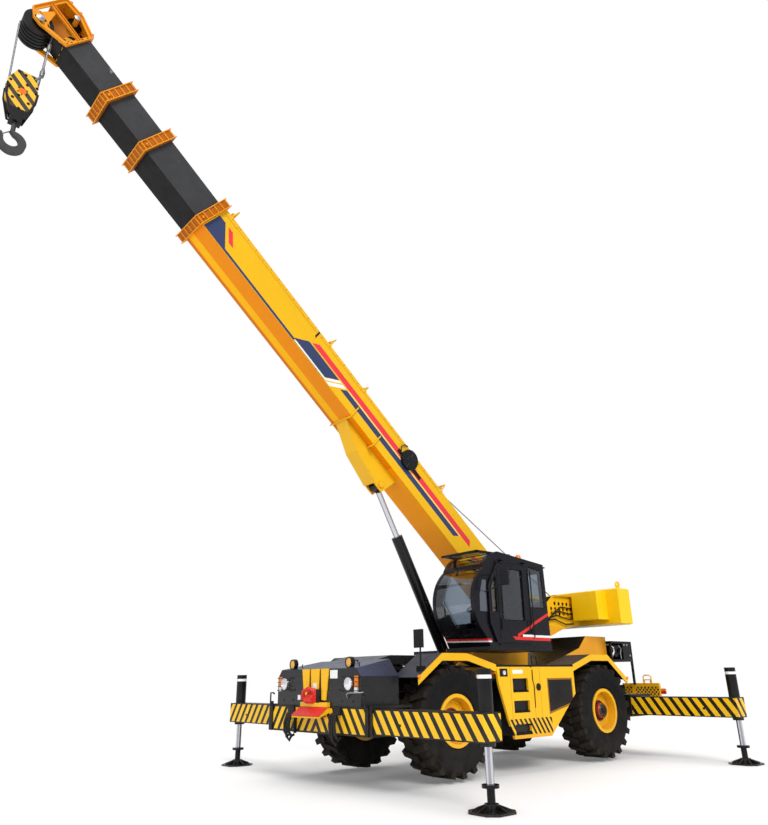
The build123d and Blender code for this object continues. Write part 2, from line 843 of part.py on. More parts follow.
# Cab door, sliding back along the cab's left side on two rails
door_outline = [
    (door_rear_x - 20, door_bottom - 20),
    (door_front_x + 75, door_bottom - 20),
    (door_front_x + 215, 2140),
    (door_front_x + 215, 2710),
    (door_front_x - 30, door_top + 20),
    (door_rear_x - 20, door_top + 20),
]
door_window = [
    (door_rear_x + 60, 2300),
    (door_front_x + 120, 2300),
    (door_front_x + 130, 2690),
    (door_front_x - 70, door_top - 60),
    (door_rear_x + 60, door_top - 60),
]
door_y0 = cab_left + door_gap
door_y1 = door_y0 + door_thickness
door = side_profile(door_outline, door_y0, door_y1)
door = door - side_profile(door_window, door_y0 - 5, door_y1 + 5)
for x in (door_rear_x + 40, door_front_x - 160):
    hanger = block(x, x + hanger_width, door_y0 + 20, door_y1, door_top, door_rail_top_z + door_rail_height + 30)
    roller_z = door_rail_top_z + door_rail_height + bead_gap
    hanger = hanger + block(x, x + hanger_width, cab_left + 4, door_y1, roller_z, roller_z + 30)
    door = door + hanger
write("cab_door", door)
write("door_glass", side_profile(door_window, door_y0 + pane_depth, door_y0 + pane_depth + pane_thickness))

# Seat and control stand inside the cab
seat = block(-60, 420, 620, 1040, 2240, 2340) + block(-160, -60, 620, 1040, 2240, 2980)
seat_post = block(80, 280, 730, 930, cab_bottom + cab_wall, 2240)
write("cab_seat", seat + seat_post)
stand = block(780, 900, 760, 900, cab_bottom + cab_wall, 2380) + Pos(800, 830, 2420) * Rot(0, 25, 0) * Torus(170, 16)
stand = stand + Pos(800, 830, 2420) * Rot(0, 25, 0) * Box(330, 24, 14) + rod_z(20, 810, 830, 2360, 2420)
write("cab_controls", stand)

# Boom parts are drawn lying along +X from the pivot and then raised
raised = Pos(boom_pivot_x, 0, boom_pivot_z) * Rot(0, -boom_angle, 0)


def tube(x0, x1, width, top, height, wall):
    """A box section, open at both ends."""
    outer = block(x0, x1, -width / 2, width / 2, top - height, top)
    inner = block(x0 - 1, x1 + 1, -width / 2 + wall, width / 2 - wall, top - height + wall, top - wall)
    return outer - inner


def section_size(number):
    """The width, top and height of a boom section: 0 is the base, 1 slides in it."""
    width = base_width - number * section_step
    top = base_top_offset - number * section_step / 2
    height = base_height - number * section_step
    return width, top, height


def end_ring(x, number):
    """The collar at a section's outer end, its wear pads close round the next section."""
    width, top, height = section_size(number)
    next_width, next_top, next_height = section_size(number + 1)
    half = width / 2 + ring_stand
    outer = block(x - ring_length, x, -half, half, top - height - ring_stand, top + ring_stand)
    gap_half = next_width / 2 + slide_fit
    opening = block(
        x - ring_length - 1, x + 1, -gap_half, gap_half, next_top - next_height - slide_fit, next_top + slide_fit
    )
    return outer - opening


def boom_base_solid():
    bottom = base_top_offset - base_height
    body = tube(base_rear, base_front, base_width, base_top_offset, base_height, base_wall)
    body = body + end_ring(base_front, 0)
    foot_outline = [
        (-95, -40),
        (-60, -95),
        (60, -95),
        (foot_length, bottom + 5),
        (foot_length, bottom + 60),
        (base_rear, bottom + 60),
        (base_rear, bottom - 5),
    ]
    for side in (1, -1):
        inner = side * (base_width / 2 - base_wall)
        outer = side * (base_width / 2 + foot_plate_thickness)
        body = body + side_profile(foot_outline, min(inner, outer), max(inner, outer))
    body = body + rod_y(pivot_pin_radius + 60, 0, -base_width / 2, base_width / 2, 0)
    body = body + rod_y(pivot_pin_radius, 0, -side_plate_inner - side_plate_thickness, side_plate_inner + side_plate_thickness, 0)
    eye_x = cylinder_eye_along
    cheek_outline = [
        (eye_x - 190, bottom + 5),
        (eye_x - 90, cylinder_eye_drop - 85),
        (eye_x + 90, cylinder_eye_drop - 85),
        (eye_x + 720, cylinder_eye_drop + 40),
        (eye_x + 1250, bottom + 5),
    ]
    for side in (1, -1):
        y0 = side * (rod_eye_width / 2 + cheek_gap)
        y1 = side * (rod_eye_width / 2 + cheek_gap + cheek_plate)
        body = body + side_profile(cheek_outline, min(y0, y1), max(y0, y1))
        head_y = y1 + side * eye_pin_head
        body = body + rod_y(eye_pin_radius + 15, eye_x, min(y1, head_y), max(y1, head_y), cylinder_eye_drop)
    return body


write("boom_base", raised * boom_base_solid())


def section_solid(number):
    width, top, height = section_size(number)
    rear = section_rear[number - 1]
    front = section_front[number - 1]
    body = tube(rear, front, width, top, height, section_wall)
    if number < 3:
        body = body + end_ring(front, number)
    return body


for number in (1, 2, 3):
    write(f"boom_section_{number + 1}", raised * section_solid(number))

# Boom head: side plates, sheave pin and the two groups of sheaves
head_width, head_top, head_height = section_size(3)
head_start = section_front[2]
head_end = head_start + head_length
sheave_z = head_top - head_height - sheave_drop
head_outline = [
    (head_start - 40, head_top - head_height),
    (head_start - 40, head_top + 60),
    (head_start + 300, head_top + 160),
    (head_end, head_top + 120),
    (head_end, sheave_z + 40),
    (sheave_x + 60, sheave_z - 70),
    (sheave_x - 60, sheave_z - 70),
]
head = None
for side in (1, -1):
    y0 = side * head_width / 2
    y1 = side * (head_width / 2 + head_plate)
    plate = side_profile(head_outline, min(y0, y1), max(y0, y1))
    head = plate if head is None else head + plate
head = head + block(head_start - 40, head_start - 5, -head_width / 2, head_width / 2, head_top, head_top + 60)
head = head + block(head_start + 1, head_start + 20, -head_width / 2, head_width / 2, head_top - head_height + 20, head_top + 40)
head = head + rod_y(sheave_pin_radius, sheave_x, -head_width / 2, head_width / 2, sheave_z)
head = head + rod_y(sheave_pin_radius, head_start + 300, -head_width / 2, head_width / 2, head_top + 60)
write("boom_head", raised * head)
sheaves = []
for index in range(-head_sheaves_each_side, head_sheaves_each_side):
    y = (index + 0.5) * head_sheave_pitch
    wheel = rod_y(head_sheave_radius, sheave_x, y - head_sheave_width / 2, y + head_sheave_width / 2, sheave_z)
    sheaves.append(wheel - rod_y(sheave_pin_radius + bead_gap, sheave_x, y - 60, y + 60, sheave_z))
for y in (-60, 60):
    wheel = rod_y(upper_sheave_radius, head_start + 300, y - 20, y + 20, head_top + 60)
    sheaves.append(wheel - rod_y(sheave_pin_radius + bead_gap, head_start + 300, y - 60, y + 60, head_top + 60))
write("head_sheaves", raised * Compound(children=sheaves))

# Hook block, hanging plumb under the head's sheaves
along = math.radians(boom_angle)
head_x = boom_pivot_x + sheave_x * math.cos(along) - sheave_z * math.sin(along)
head_z = boom_pivot_z + sheave_x * math.sin(along) + sheave_z * math.cos(along)
block_z = head_z - block_drop
cheek_line = [
    (-190, 60),
    (-140, 330),
    (100, 330),
    (200, 120),
    (180, -120),
    (80, -400),
    (-80, -400),
    (-185, -120),
]
hook_block = rod_y(block_sheave_radius, head_x, -block_width / 2 + 2, block_width / 2 - 2, block_z)
for side in (1, -1):
    y0 = side * (block_width / 2 - block_cheek)
    y1 = side * block_width / 2
    cheek = side_profile([(head_x + x, block_z + z) for x, z in cheek_line], min(y0, y1), max(y0, y1))
    hook_block = hook_block + cheek
crosshead = block(
    head_x - crosshead_half, head_x + crosshead_half, -block_width / 2, block_width / 2, block_z + crosshead_bottom, block_z + crosshead_top
)
hook_block = hook_block + crosshead
hook_block = hook_block - rod_z(hook_shank_radius + shaft_fit, head_x, 0, block_z + crosshead_bottom - 5, block_z + crosshead_top + 5)
write("hook_block", hook_block)

# Falls of rope from the head's sheaves round the block's, with a straight part on each side
reach_top = head_sheave_radius + rope_radius + bead_gap
reach_bottom = block_sheave_radius + rope_radius + rope_seat
lean = math.asin((reach_top - reach_bottom) / block_drop)
wrap_top = block_z - reach_bottom * math.sin(lean)
falls = []
for y in (-head_sheave_pitch / 2, head_sheave_pitch / 2):
    wrap = Pos(head_x, y, block_z) * Rot(90, 0, 0) * Torus(reach_bottom, rope_radius)
    fall = wrap & block(head_x - 300, head_x + 300, y - 20, y + 20, block_z - 300, wrap_top)
    for way in (1, -1):
        low = (head_x + way * reach_bottom * math.cos(lean), wrap_top)
        high = (head_x + way * reach_top * math.cos(lean), head_z - reach_top * math.sin(lean))
        length = math.hypot(high[0] - low[0], high[1] - low[1])
        middle = Pos((low[0] + high[0]) / 2, y, (low[1] + high[1]) / 2)
        fall = fall + middle * Rot(0, way * math.degrees(lean), 0) * Cylinder(rope_radius, length)
    falls.append(fall.solid())
write("hoist_falls", Compound(children=falls))

# Hook: a forged profile of arcs about the throat's centre, on a shank that turns in the crosshead
hook_z = block_z - hook_drop
hook_profile = make_face(
    Curve()
    + [
        ThreePointArc((-34, 150), (-140, 105), (-190, 0)),
        ThreePointArc((-190, 0), (-128, -145), (0, -195)),
        ThreePointArc((0, -195), (125, -130), (172, 0)),
        ThreePointArc((172, 0), (172, 45), (150, 82)),
        ThreePointArc((150, 82), (126, 76), (112, 50)),
        ThreePointArc((112, 50), (100, 25), (95, 0)),
        ThreePointArc((95, 0), (0, -95), (-95, 0)),
        ThreePointArc((-95, 0), (-67.2, 67.2), (-16.5, 93.6)),
        Line((-16.5, 93.6), (34, 150)),
        Line((34, 150), (-34, 150)),
    ]
)
hook = Pos(head_x, hook_thickness / 2, hook_z) * Rot(90, 0, 0) * extrude(hook_profile, amount=hook_thickness, dir=(0, 0, 1))
hook = hook + rod_z(hook_shank_radius, head_x, 0, hook_z + 140, block_z + crosshead_top + hook_nut_height)
nut_z = block_z + crosshead_top + bead_gap
hook = hook + rod_z(hook_nut_radius, head_x, 0, nut_z, nut_z + hook_nut_height)
write("hook", hook)
print("hook axis", round(head_x, 2), round(head_z, 2))

# Luffing cylinder, drawn along +X from its foot pin and then set in line with its rod's eye
eye_x = boom_pivot_x + cylinder_eye_along * math.cos(along) - cylinder_eye_drop * math.sin(along)
eye_z = boom_pivot_z + cylinder_eye_along * math.sin(along) + cylinder_eye_drop * math.cos(along)
cylinder_angle = math.degrees(math.atan2(eye_z - cylinder_foot_z, eye_x - cylinder_foot_x))
cylinder_length = math.hypot(eye_z - cylinder_foot_z, eye_x - cylinder_foot_x)
leaning = Pos(cylinder_foot_x, 0, cylinder_foot_z) * Rot(0, -cylinder_angle, 0)
print("cylinder angle and length", round(cylinder_angle, 3), round(cylinder_length, 2))
barrel = rod_x(barrel_radius, barrel_start, barrel_length, 0, 0)
barrel = barrel + block(0, barrel_start + 5, -foot_eye_width / 2, foot_eye_width / 2, -barrel_radius + 15, barrel_radius - 15)
barrel = barrel + rod_y(barrel_radius, 0, -foot_eye_width / 2, foot_eye_width / 2, 0)
barrel = barrel - rod_x(barrel_radius - barrel_wall, barrel_bottom_gap, barrel_length - 60, 0, 0)
barrel = barrel - rod_x(rod_radius + shaft_fit, barrel_length - 70, barrel_length + 1, 0, 0)
barrel = barrel + rod_y(foot_pin_radius, 0, -foot_eye_width / 2 - cheek_gap - 40, foot_eye_width / 2 + cheek_gap + 40, 0)
write("luffing_barrel", leaning * barrel)
rod = rod_x(rod_radius, cylinder_length - rod_length, cylinder_length - 40, 0, 0)
rod = rod + rod_x(barrel_radius - barrel_wall - 0.08, cylinder_length - rod_length, cylinder_length - rod_length + 60, 0, 0)
rod = rod + rod_y(eye_radius, cylinder_length, -rod_eye_width / 2, rod_eye_width / 2, 0)
write("luffing_rod", leaning * rod)
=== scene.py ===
import bmesh
import bpy
import math
from mathutils import Matrix, Vector
from mathutils.geometry import tessellate_polygon


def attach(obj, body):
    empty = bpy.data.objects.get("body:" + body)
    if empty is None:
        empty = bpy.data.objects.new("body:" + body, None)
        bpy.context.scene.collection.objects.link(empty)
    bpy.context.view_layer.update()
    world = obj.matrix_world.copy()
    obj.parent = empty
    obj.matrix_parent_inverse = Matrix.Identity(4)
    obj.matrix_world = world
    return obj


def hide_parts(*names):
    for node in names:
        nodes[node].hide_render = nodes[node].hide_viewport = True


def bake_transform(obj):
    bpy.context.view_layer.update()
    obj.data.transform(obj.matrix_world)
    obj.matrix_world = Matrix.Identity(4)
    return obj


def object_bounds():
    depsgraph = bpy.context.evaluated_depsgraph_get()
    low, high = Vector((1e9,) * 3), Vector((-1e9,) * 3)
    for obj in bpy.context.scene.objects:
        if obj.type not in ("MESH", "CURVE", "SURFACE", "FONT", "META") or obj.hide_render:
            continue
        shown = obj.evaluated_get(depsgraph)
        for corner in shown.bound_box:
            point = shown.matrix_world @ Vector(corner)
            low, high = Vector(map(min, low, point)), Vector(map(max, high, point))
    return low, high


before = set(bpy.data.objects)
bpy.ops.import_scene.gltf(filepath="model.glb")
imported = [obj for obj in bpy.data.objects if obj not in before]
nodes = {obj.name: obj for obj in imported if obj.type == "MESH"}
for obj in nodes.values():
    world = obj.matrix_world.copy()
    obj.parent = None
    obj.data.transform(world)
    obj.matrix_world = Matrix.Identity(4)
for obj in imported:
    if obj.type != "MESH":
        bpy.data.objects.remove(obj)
cad_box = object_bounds()

# Places of the CAD's pieces, in metres
SIDES = (1, -1)
CORNERS = {"front_left": (1, 1), "front_right": (1, -1), "rear_left": (-1, 1), "rear_right": (-1, -1)}
AXLE_X, WHEEL_Y, AXLE_Z = 1.82, 1.035, 0.787
X = 3.37  # front face of the front outrigger box
BODY_Y = 1.30  # half the body's width
BLOCK_X, BLOCK_Z = 8.52319, 8.93639
DRUM_Z = 2.56
LOOP_X = -3.93
LENS_X = (-3.9615, -3.938)
TUBE_Y, TUBE_TOP, TUBE_BOTTOM = 0.270, 0.83, 0.25  # the boom base's side, top and bottom
YOKE_Y = 0.2705  # just off the boom base's side
SECTION_STEP = 0.022  # each section is this much smaller all round than the one before
COLLAR = 0.058  # how far a collar stands off its section
HEAD_IN, FLANGE_IN, HEAD_Y = 0.204, 0.223, 0.224  # the head's plates: inside, flanges' inside, outside
GUARD_Y = 0.235  # half the width of the rope guards
ROPE_R, DRUM_ROPE_R = 0.009, 0.0125
HUB, UPPER_HUB = (12.330, 0.235), (12.220, 0.824)

# Boom coordinates: "along" runs from the pivot to the head, "off" is the height above the pivot's line
ANGLE = math.radians(40.5)
CA, SA = math.cos(ANGLE), math.sin(ANGLE)
PIVOT = Vector((-0.70, 0.0, 1.95))


def boom(along, y, off):
    return (PIVOT.x + along * CA - off * SA, y, PIVOT.z + along * SA + off * CA)


# Materials
class Mat:
    def __init__(self, name, rough=0.4, metal=0.0, coat=0.0, spec=0.22):
        self.m = bpy.data.materials.new(name)
        self.m.use_nodes = True
        self.t = self.m.node_tree
        self.b = self.t.nodes["Principled BSDF"]
        for key, value in (("Roughness", rough), ("Metallic", metal), ("Coat Weight", coat),
                           ("Coat Roughness", 0.08), ("Specular IOR Level", spec)):
            self.put(value, self.b.inputs[key])
        self.rough = rough
        place = self.node("ShaderNodeTexCoord")
        self.co = place.outputs["Object"]
        self.x, self.y, self.z = self.split(self.co)
        self.nx, self.ny, self.nz = self.split(place.outputs["Normal"])

    def node(self, kind):
        return self.t.nodes.new(kind)

    def split(self, vector):
        n = self.node("ShaderNodeSeparateXYZ")
        self.put(vector, n.inputs[0])
        return n.outputs

    def put(self, value, socket):
        if isinstance(value, (int, float)):
            socket.default_value = value
        elif isinstance(value, tuple):
            socket.default_value = (*value, 1.0)[:4]
        else:
            self.t.links.new(value, socket)

    def math(self, op, a, b=0.0):
        n = self.node("ShaderNodeMath")
        n.operation = op
        self.put(a, n.inputs[0])
        self.put(b, n.inputs[1])
        return n.outputs[0]

    def sum(self, *terms):
        """Sum of (socket, factor) pairs, sockets and plain numbers."""
        total = None
        for term in terms:
            value = self.math("MULTIPLY", *term) if isinstance(term, tuple) else term
            total = value if total is None else self.math("ADD", total, value)
        return total

    def fold(self, op, first, *rest):
        for value in rest:
            first = self.math(op, first, value)
        return first

    def both(self, *masks):
        return self.fold("MULTIPLY", *masks)

    def any(self, *masks):
        return self.fold("MAXIMUM", *masks)

    def gt(self, a, b):
        return self.math("GREATER_THAN", a, b)

    def lt(self, a, b):
        return self.math("LESS_THAN", a, b)

    def abs(self, a):
        return self.math("ABSOLUTE", a)

    def between(self, a, low, high):
        return self.both(self.gt(a, low), self.lt(a, high))

    def clamp(self, a, low, high):
        return self.math("MINIMUM", self.math("MAXIMUM", a, low), high)

    def reach(self, a, a0, b, b0):
        """Squared distance from the point (a0, b0)."""
        return self.sum(self.math("POWER", self.sum(a, -a0), 2.0), self.math("POWER", self.sum(b, -b0), 2.0))

    def mix(self, fac, a, b):
        n = self.node("ShaderNodeMix")
        n.data_type = "RGBA"
        for value, socket in ((fac, 0), (a, 6), (b, 7)):
            self.put(value, n.inputs[socket])
        return n.outputs[2]

    def layers(self, color, *coats):
        """Paints laid over each other, each with its mask."""
        for mask, paint in coats:
            color = self.mix(mask, color, paint)
        return color

    def noise(self, scale, detail=3.0, low=0.0, high=1.0, stretch=None):
        n = self.node("ShaderNodeTexNoise")
        n.inputs["Scale"].default_value = scale
        n.inputs["Detail"].default_value = detail
        vector = self.co
        if stretch:
            mapping = self.node("ShaderNodeMapping")
            mapping.inputs["Scale"].default_value = stretch
            self.put(vector, mapping.inputs[0])
            vector = mapping.outputs[0]
        self.put(vector, n.inputs["Vector"])
        r = self.node("ShaderNodeMapRange")
        self.put(n.outputs["Fac"], r.inputs[0])
        for i, value in enumerate((0.3, 0.7, low, high)):
            r.inputs[i + 1].default_value = value
        return r.outputs[0]

    def finish(self, color, vary=0.12, dust=0.0, bump=0.02, grain=90.0, wear=0.0,
               wear_color=(0.16, 0.14, 0.12), edge=0.006):
        """Colour variation, dust that settles low and on flat tops, worn edges and a fine surface grain."""
        hsv = self.node("ShaderNodeHueSaturation")
        self.put(color, hsv.inputs["Color"])
        self.put(self.noise(1.1, 4.0, 1.0 - vary, 1.0 + vary * 0.5), hsv.inputs["Value"])
        out = hsv.outputs[0]
        if dust:
            low = self.clamp(self.both(self.math("SUBTRACT", 1.25, self.z), 0.6), 0.0, 0.7)
            top = self.both(self.gt(self.nz, 0.6), 0.25)
            amount = self.both(self.sum(low, top), self.noise(6.0, 6.0, 0.0, dust))
            out = self.mix(amount, out, (0.30, 0.25, 0.19))
        normal = None
        if edge:
            bevel = self.node("ShaderNodeBevel")
            bevel.samples = 3
            bevel.inputs[0].default_value = edge
            normal = bevel.outputs[0]
            if wear:
                flat = self.node("ShaderNodeNewGeometry")
                dot = self.node("ShaderNodeVectorMath")
                dot.operation = "DOT_PRODUCT"
                self.put(normal, dot.inputs[0])
                self.put(flat.outputs["Normal"], dot.inputs[1])
                worn = self.math("SUBTRACT", 1.0, dot.outputs["Value"])
                worn = self.clamp(self.both(worn, self.noise(24.0, 5.0, -4.0, 9.0)), 0.0, wear)
                out = self.mix(worn, out, wear_color)
        self.put(out, self.b.inputs["Base Color"])
        rough = self.noise(9.0, 5.0, max(self.rough - 0.07, 0.02), self.rough + 0.1)
        self.put(rough, self.b.inputs["Roughness"])
        if bump:
            grained = self.node("ShaderNodeBump")
            grained.inputs["Strength"].default_value = 0.25
            grained.inputs["Distance"].default_value = bump * 0.1
            self.put(self.noise(grain, 3.0), grained.inputs["Height"])
            if normal:
                self.put(normal, grained.inputs["Normal"])
            normal = grained.outputs[0]
        if normal:
            self.put(normal, self.b.inputs["Normal"])
        return self.m

    def stripes(self, across, period, first, second, share=0.5):
        f = self.math("FRACT", self.math("DIVIDE", across, period))
        return self.mix(self.gt(f, share), first, second)

    def hazard(self, *across):
        """The warning stripes, leaning with the height."""
        return self.stripes(self.sum(*across, (self.z, LEAN)), 0.175, BLACK, HAZARD_YELLOW, 0.44)

    def facing(self, normal):
        """Faces square to an axis, given as that part of the normal."""
        return self.gt(self.abs(normal), 0.9)

    def boom_axes(self):
        along = self.sum((self.x, CA), (self.z, SA), -(PIVOT.x * CA + PIVOT.z * SA))
        off = self.sum((self.x, -SA), (self.z, CA), PIVOT.x * SA - PIVOT.z * CA)
        return along, off


YELLOW = (0.86, 0.46, 0.004)
ORANGE = (0.82, 0.30, 0.006)
BLACK = (0.004, 0.004, 0.005)
SOOT = (0.006, 0.006, 0.007)
RED = (0.64, 0.024, 0.018)
WHITE = (0.80, 0.80, 0.78)
NAVY = (0.040, 0.054, 0.130)
# the end rings' face between the collar ribs: orange darkened as painted shade
SHADED_RING = (0.42, 0.115, 0.006)
BRIGHT = (0.62, 0.62, 0.66)
HEAD_YELLOW = (0.84, 0.40, 0.01)
HAZARD_YELLOW = (0.88, 0.50, 0.004)
LEAN = 0.69  # how far the warning stripes lean per metre of height


def plain(name, color, rough=0.4, metal=0.0, coat=0.0, spec=0.22, **kw):
    return Mat(name, rough, metal, coat, spec).finish(color, **kw)


def lens(name, color, rough=0.15, metal=0.0, coat=0.6):
    return plain(name, color, rough, metal, coat, bump=0.0, edge=0.0)


black = plain("black_paint", BLACK, 0.42, dust=0.12, wear=0.18, wear_color=(0.20, 0.19, 0.18))
black_gloss = plain("black_gloss", BLACK, 0.22, coat=0.15, dust=0.08, wear=0.1, wear_color=(0.2, 0.2, 0.2))
yellow = plain("yellow_paint", YELLOW, 0.34, coat=0.08, vary=0.07, dust=0.2, wear=0.2)
orange = plain("orange_paint", ORANGE, 0.36, coat=0.06, vary=0.08, wear=0.25)
red = plain("red_paint", RED, 0.36, coat=0.1, dust=0.1, wear=0.2)
white = plain("white_plate", WHITE, 0.45, vary=0.04, edge=0.0)
iron = plain("black_iron", (0.012, 0.0115, 0.011), 0.6, 0.2, dust=0.5, bump=0.06)
steel = plain("machined_steel", (0.45, 0.45, 0.46), 0.32, 1.0, bump=0.01, edge=0.0)
chrome = plain("chrome_rod", (0.66, 0.66, 0.69), 0.16, 1.0, vary=0.04, bump=0.004, edge=0.0)
rubber = plain("black_rubber", (0.007, 0.007, 0.007), 0.7, bump=0.05, edge=0.0)
plastic = plain("black_plastic", (0.008, 0.008, 0.009), 0.5, bump=0.03)
amber = lens("amber_lens", (0.85, 0.22, 0.01))
red_lens = lens("red_lens", (0.55, 0.01, 0.01))
warm_lens = lens("warm_lens", (0.70, 0.36, 0.04))
clear_lens = lens("clear_lens", (0.75, 0.76, 0.78), 0.12, 0.6, 0.8)
castgrey = plain("cast_grey", (0.10, 0.10, 0.105), 0.6, 0.4, dust=0.3, bump=0.08, grain=60)
weight_paint = plain("counterweight_paint", (0.90, 0.55, 0.004), 0.40, coat=0.05, vary=0.05, bump=0.05,
                     grain=30, wear=0.2)
forged = plain("forged_hook", (0.055, 0.055, 0.058), 0.5, 0.3, bump=0.08, grain=50, wear=0.4,
               wear_color=(0.25, 0.25, 0.25))
strip_paint = plain("boom_strip_paint", (0.76, 0.41, 0.012), 0.34, coat=0.04, vary=0.05)
dark_pane = plain("dark_pane", (0.05, 0.06, 0.08), 0.05, coat=0.9, spec=0.8, bump=0.0, edge=0.0)
seat_fabric = plain("seat_fabric", (0.03, 0.03, 0.034), 0.9, bump=0.2, grain=500, edge=0.0)


def wheel_radius(m):
    return m.math("SQRT", m.reach(m.abs(m.x), AXLE_X, m.z, AXLE_Z))


def tyre_material():
    m = Mat("tyre_rubber", 0.82, spec=0.15)
    radius = wheel_radius(m)
    tread = m.clamp(m.both(m.sum(radius, -0.62), 6.0), 0.0, 0.75)
    tread = m.both(tread, m.noise(14.0, 6.0, 0.2, 1.0))
    color = m.mix(tread, (0.007, 0.007, 0.008), (0.040, 0.029, 0.018))
    # moulded rings on the sidewall
    ridge = m.math("SINE", m.both(radius, 420.0))
    color = m.mix(m.both(m.between(radius, 0.47, 0.50), m.gt(ridge, 0.2)), color, (0.006, 0.006, 0.006))
    return m.finish(color, vary=0.25, dust=0.08, bump=0.12, grain=160, edge=0.008)


def rim_material():
    m = Mat("rim_paint", 0.36, coat=0.06)
    radius = wheel_radius(m)
    color = m.layers((0.38, 0.035, 0.012), (m.gt(radius, 0.172), (0.86, 0.44, 0.004)),
                     (m.lt(radius, 0.112), (0.03, 0.025, 0.022)))
    return m.finish(color, vary=0.12, dust=0.3, wear=0.3)


def beam_material():
    m = Mat("beam_paint", 0.36, coat=0.05)
    ax, ay = m.abs(m.x), m.abs(m.y)
    # the diagonals run on round the corner to the end plate
    far = m.math("MINIMUM", m.sum(3.20, (ax, -1.0)), m.sum((ax, 1.0), -2.90))
    notch = m.lt(m.math("FRACT", m.math("DIVIDE", m.sum(ay, -0.93), 0.82)), 0.05)
    notch = m.both(notch, m.between(m.z, 0.80, 0.83))
    height = m.between(m.z, 0.700, 0.976)
    side = m.both(m.facing(m.nx), height, m.gt(ay, 0.9))
    end = m.both(m.gt(ay, 3.149), height)
    color = m.layers(BLACK, (m.any(side, end), m.hazard(ay, far)), (m.both(side, notch), BLACK),
                     (m.both(m.between(m.z, 1.345, 1.385), m.gt(ay, 2.9)), WHITE))
    return m.finish(color, vary=0.08, dust=0.2, wear=0.3)


def frame_material():
    m = Mat("frame_paint", 0.4)
    ay = m.abs(m.y)
    face = m.both(m.gt(m.abs(m.x), 3.368), m.between(m.z, 0.68, 0.985), m.lt(ay, 1.19))
    return m.finish(m.mix(face, BLACK, m.hazard(ay)), dust=0.3, wear=0.3)


def fender_material():
    m = Mat("fender_paint", 0.36, coat=0.05)
    face = m.both(m.gt(m.abs(m.y), 1.2985), m.facing(m.ny))
    # painted sky reflection: the black's top faces get a bluish grey
    color = m.mix(m.gt(m.nz, 0.3), BLACK, (0.022, 0.022, 0.034))
    return m.finish(m.mix(face, color, YELLOW), dust=0.08, wear=0.3)


def side_material():
    m = Mat("side_paint", 0.34, coat=0.06)
    slope = m.sum((m.x, -0.21), 0.773)
    hazard = m.stripes(m.sum((m.x, -1.0), (m.z, LEAN)), 0.105, BLACK, YELLOW)
    low = m.both(m.between(m.z, 0.53, 0.755), m.between(m.x, -0.285, 0.84))
    # painted shade: a dark orange band, the yellow darkened, round the black panel's edge
    rim = m.both(m.between(m.x, -0.905, -0.235), m.gt(m.z, m.sum(slope, -0.03)), m.lt(m.z, 1.327))
    panel = m.both(m.between(m.x, -0.88, -0.26), m.gt(m.z, slope), m.lt(m.z, 1.302))
    seam = m.any(m.between(m.x, 0.658, 0.664), m.between(m.x, 0.108, 0.114),
                 m.both(m.between(m.x, -0.06, -0.054), m.gt(m.z, 0.76)))
    color = m.layers(YELLOW, (low, hazard), (m.lt(m.z, 0.53), (0.80, 0.38, 0.006)), (rim, (0.30, 0.12, 0.004)),
                     (panel, BLACK), (m.both(seam, m.gt(m.z, 0.62)), (0.16, 0.06, 0.004)),
                     (m.lt(m.abs(m.y), 1.262), BLACK))
    return m.finish(color, vary=0.06, dust=0.15, wear=0.2)


def hood_material():
    m = Mat("front_hood_paint", 0.30, coat=0.05, spec=0.4)
    # painted sky reflection: the black's top faces turn pale navy towards the front
    painted_sky_reflection = m.both(m.gt(m.nz, 0.3), m.clamp(m.sum((m.x, 0.75), -1.6), 0.0, 1.0))
    return m.finish(m.mix(painted_sky_reflection, BLACK, (0.030, 0.036, 0.085)), dust=0.05, wear=0.15, wear_color=(0.2, 0.2, 0.2))


def engine_hood_material():
    m = Mat("engine_hood_paint", 0.36, coat=0.05)
    return m.finish(m.mix(m.facing(m.ny), BLACK, (0.84, 0.36, 0.004)), dust=0.1, wear=0.2)


def upper_material():
    m = Mat("upper_paint", 0.36, coat=0.05)
    platform = m.both(m.between(m.z, 1.735, 1.797), m.gt(m.abs(m.y), 0.34))
    arm = m.lt(m.z, m.sum((m.x, 0.10), 2.42))
    color = m.layers(YELLOW, (arm, (0.84, 0.38, 0.004)), (m.any(platform, m.lt(m.z, 1.33)), BLACK))
    return m.finish(color, vary=0.08, dust=0.2, wear=0.2)


